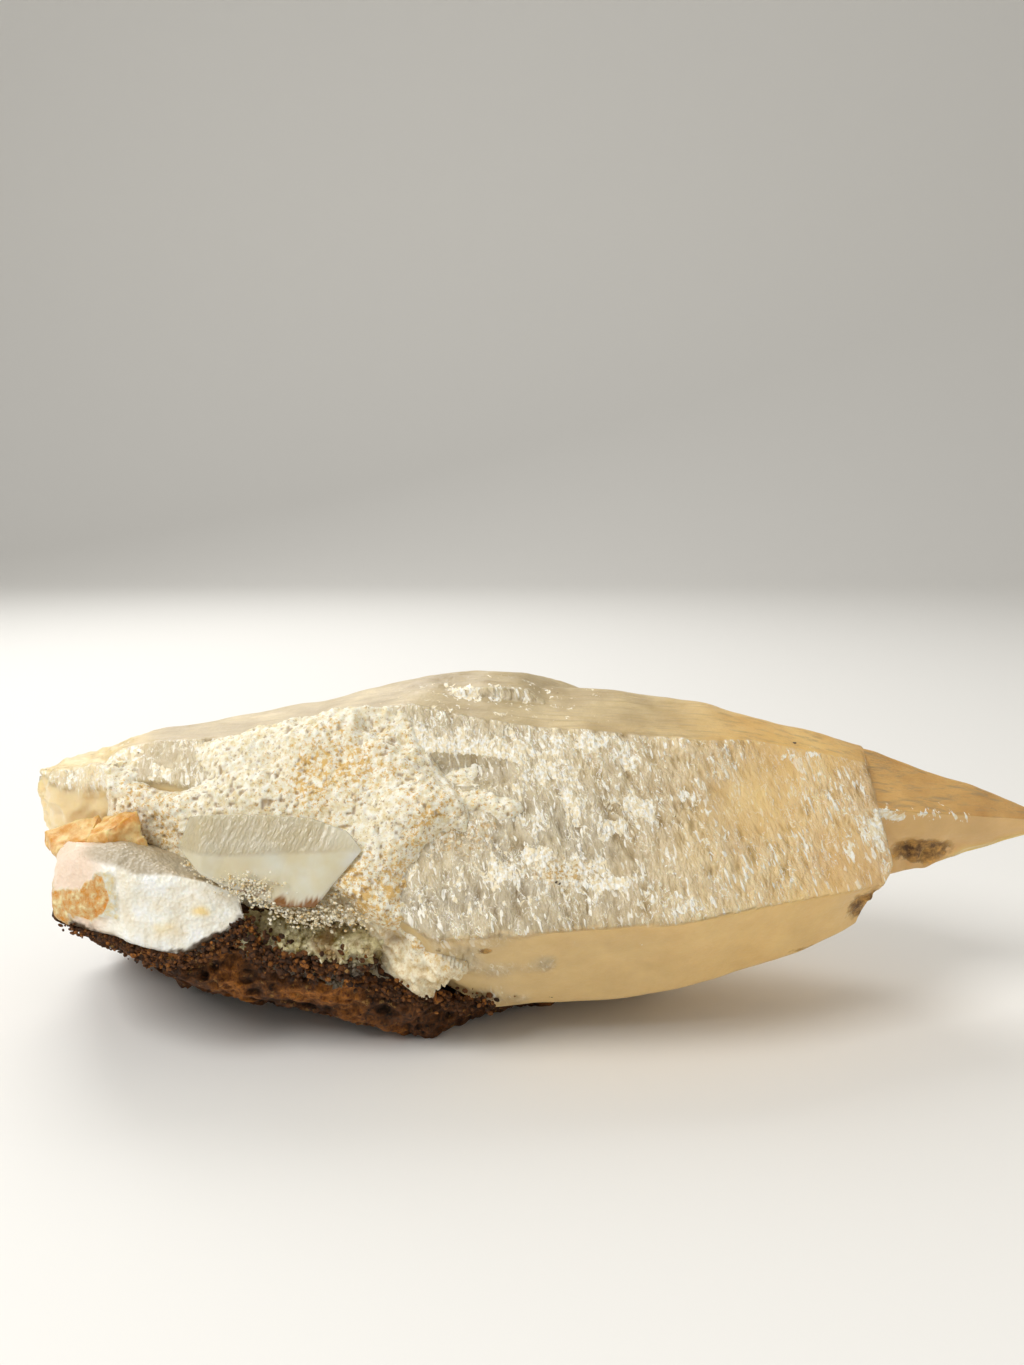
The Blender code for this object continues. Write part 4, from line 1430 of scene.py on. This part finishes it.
def strewn(name, lines, seed, masks):
    """Pebbles along lines: a random place between two neighbouring points, plus a normal spread.

    Each mask gets one random number for a pebble, up to the most that is given.
    """
    draw = np.random.default_rng(seed)
    centres, sizes = [], []
    for count, spread, largest, *stops in lines:
        stops = np.array(stops, float)
        along = draw.uniform(0, len(stops) - 1, count)
        middle = [np.interp(along, np.arange(len(stops)), stops[:, axis]) for axis in range(3)]
        centres.append(np.stack(middle, axis=-1) + draw.normal(0, 1, (count, 3)) * spread)
        sizes.append(largest * draw.uniform(0.3, 1.0, count) ** 1.5)
    centres, sizes = np.concatenate(centres), np.concatenate(sizes)
    axes = unit(draw.normal(0, 1, centres.shape))
    corners, faces = pebble()
    points, faces = scatter(corners * (1.0, 0.75, 0.6), faces, centres, axes, sizes)
    piece = new_piece(name, points * MM, faces.tolist())
    for key, most in masks.items():
        give_mask(piece, key, np.repeat(draw.uniform(0, most, len(centres)), len(corners)))
    return piece


# %% Crumbs of sand and of matrix
SAND_LINES = (
    # count, spread in x, y, z, largest size, then the points of the line
    (500, (1.0, 0.35, 0.6), 0.55, (-79, -38.6, 47), (-70, -42.1, 43.2), (-63, -42.6, 40.3), (-58, -42, 38.2)),
    (420, (0.9, 0.4, 0.6), 0.55, (-58, -42, 37.8), (-51, -41, 37.6), (-45, -39, 40.5), (-41, -37.5, 46)),
    (420, (2.6, 0.3, 1.3), 0.5, (-68, -42.1, 43.8), (-63, -42.4, 41.6)),
    (700, (3.0, 1.0, 1.3), 0.6, (-58, -41, 36.4), (-50, -41, 35.8), (-43, -41, 35.5)),
)
ROCK_LINES = (
    (420, (1.2, 0.5, 0.7), 0.7, (-108, -33, 30.6), (-104, -35.4, 29.8), (-96, -38.9, 28.4),
     (-90, -40.4, 26.8)),
    (620, (1.4, 0.5, 0.9), 0.85, (-90, -40.8, 26.2), (-83, -41, 24.6), (-76, -40.5, 26.6),
     (-70, -39.6, 30), (-66, -38, 33.5)),
    (700, (2.4, 0.8, 1.6), 1.1, (-66, -38.5, 29), (-60, -39.6, 25), (-50, -39.8, 23), (-42, -39, 24)),
    (520, (1.6, 0.8, 1.2), 0.9, (-42, -37.5, 19), (-32, -36.5, 15.5), (-22, -35.0, 13.5), (-12, -33, 11.5)),
)
sand_crumbs = strewn("crust_crumbs", SAND_LINES, 5, {"tint": 1.0, "banded": 0.4, "fold": 0.0})
dress(sand_crumbs, calcite_sand, "sandy_crust")
# Each rock crumb takes a random share of the hollows' painted shade.
rock_crumbs = strewn("rock_crumbs", ROCK_LINES, 6, {"rust": 1.2, "hollows": 0.8})
dress(rock_crumbs, iron_matrix, "host_rock")

# %% [markdown]
# The studio: a plain pale sweep that runs from the floor up into a wall, far enough away for
# the camera to walk round the specimen, one large soft window of light from the upper left, a
# second from behind that makes the thin edges glow, a weak one from the right, and a pale sky
# that fills the shadows.


# %% Floor and wall
def sweep_profile(depth, bend, height):
    """Points of the sweep from front to back: flat, a quarter circle of radius bend, then straight up."""
    angle = np.linspace(0, math.pi / 2, 24)
    curve = np.stack([depth - bend + bend * np.sin(angle), bend - bend * np.cos(angle)], axis=-1)
    return np.concatenate([[(-2.5, 0.0)], curve, [(depth, height)]])


# The sweep is in metres: its depth, the bend's radius and its height, then half its width.
profile = sweep_profile(1.6, 0.5, 2.2)
across = np.repeat(np.array((-3.0, 3.0)), len(profile))
floor_points = np.stack([across, np.tile(profile[:, 0], 2), np.tile(profile[:, 1], 2)], axis=-1)
step = np.arange(len(profile) - 1)
floor_faces = np.stack([step, step + len(profile), step + len(profile) + 1, step + 1], axis=-1)
floor = new_piece("studio_sweep", floor_points, floor_faces.tolist())
floor.data.polygons.foreach_set("use_smooth", np.ones(len(floor_faces), bool))
pale_paper, *_ = new_material("pale_paper")
finish_material(pale_paper, Base_Color="#E9E7E2", Roughness=0.9)
floor.data.materials.append(pale_paper)


# %% Lights
def soft_light(name, place, size, power, aim):
    """A square area light that looks at a point."""
    data = bpy.data.lights.new(name, "AREA")
    data.size, data.energy = size, power
    light = in_scene(name, data)
    light.location = place
    back = np.array(place) - np.array(aim)
    rise = math.atan2(math.hypot(back[0], back[1]), back[2])
    light.rotation_euler = (rise, 0, math.atan2(back[0], -back[1]))


# Place and aim are in metres, then comes the side of the light, and its power in watts.
soft_light("window_light", (-0.6, -0.45, 0.85), 0.5, 7.6, (0, 0, 0.04))
soft_light("back_light", (-0.35, 0.65, 0.75), 0.6, 5.0, (0, 0, 0.05))
soft_light("fill_light", (0.9, -0.5, 0.5), 0.8, 1.0, (0, 0, 0.04))
world = bpy.data.worlds.new("pale_sky")
world.use_nodes = True
world.node_tree.nodes["Background"].inputs["Color"].default_value = colour("#FAF8F4")
world.node_tree.nodes["Background"].inputs["Strength"].default_value = 0.45
bpy.context.scene.world = world
bpy.context.scene.view_settings.view_transform = "Standard"

# %% Camera
# The view looks down by 10 degrees, and the lens is in millimetres on Blender's usual 36 mm film.
camera_data = bpy.data.cameras.new("camera")
camera_data.lens = 31.65
camera = in_scene("camera", camera_data)
camera.location = (-0.0079, -0.2917, 0.132)
camera.rotation_euler = (math.radians(80), 0, 0)
bpy.context.scene.camera = camera
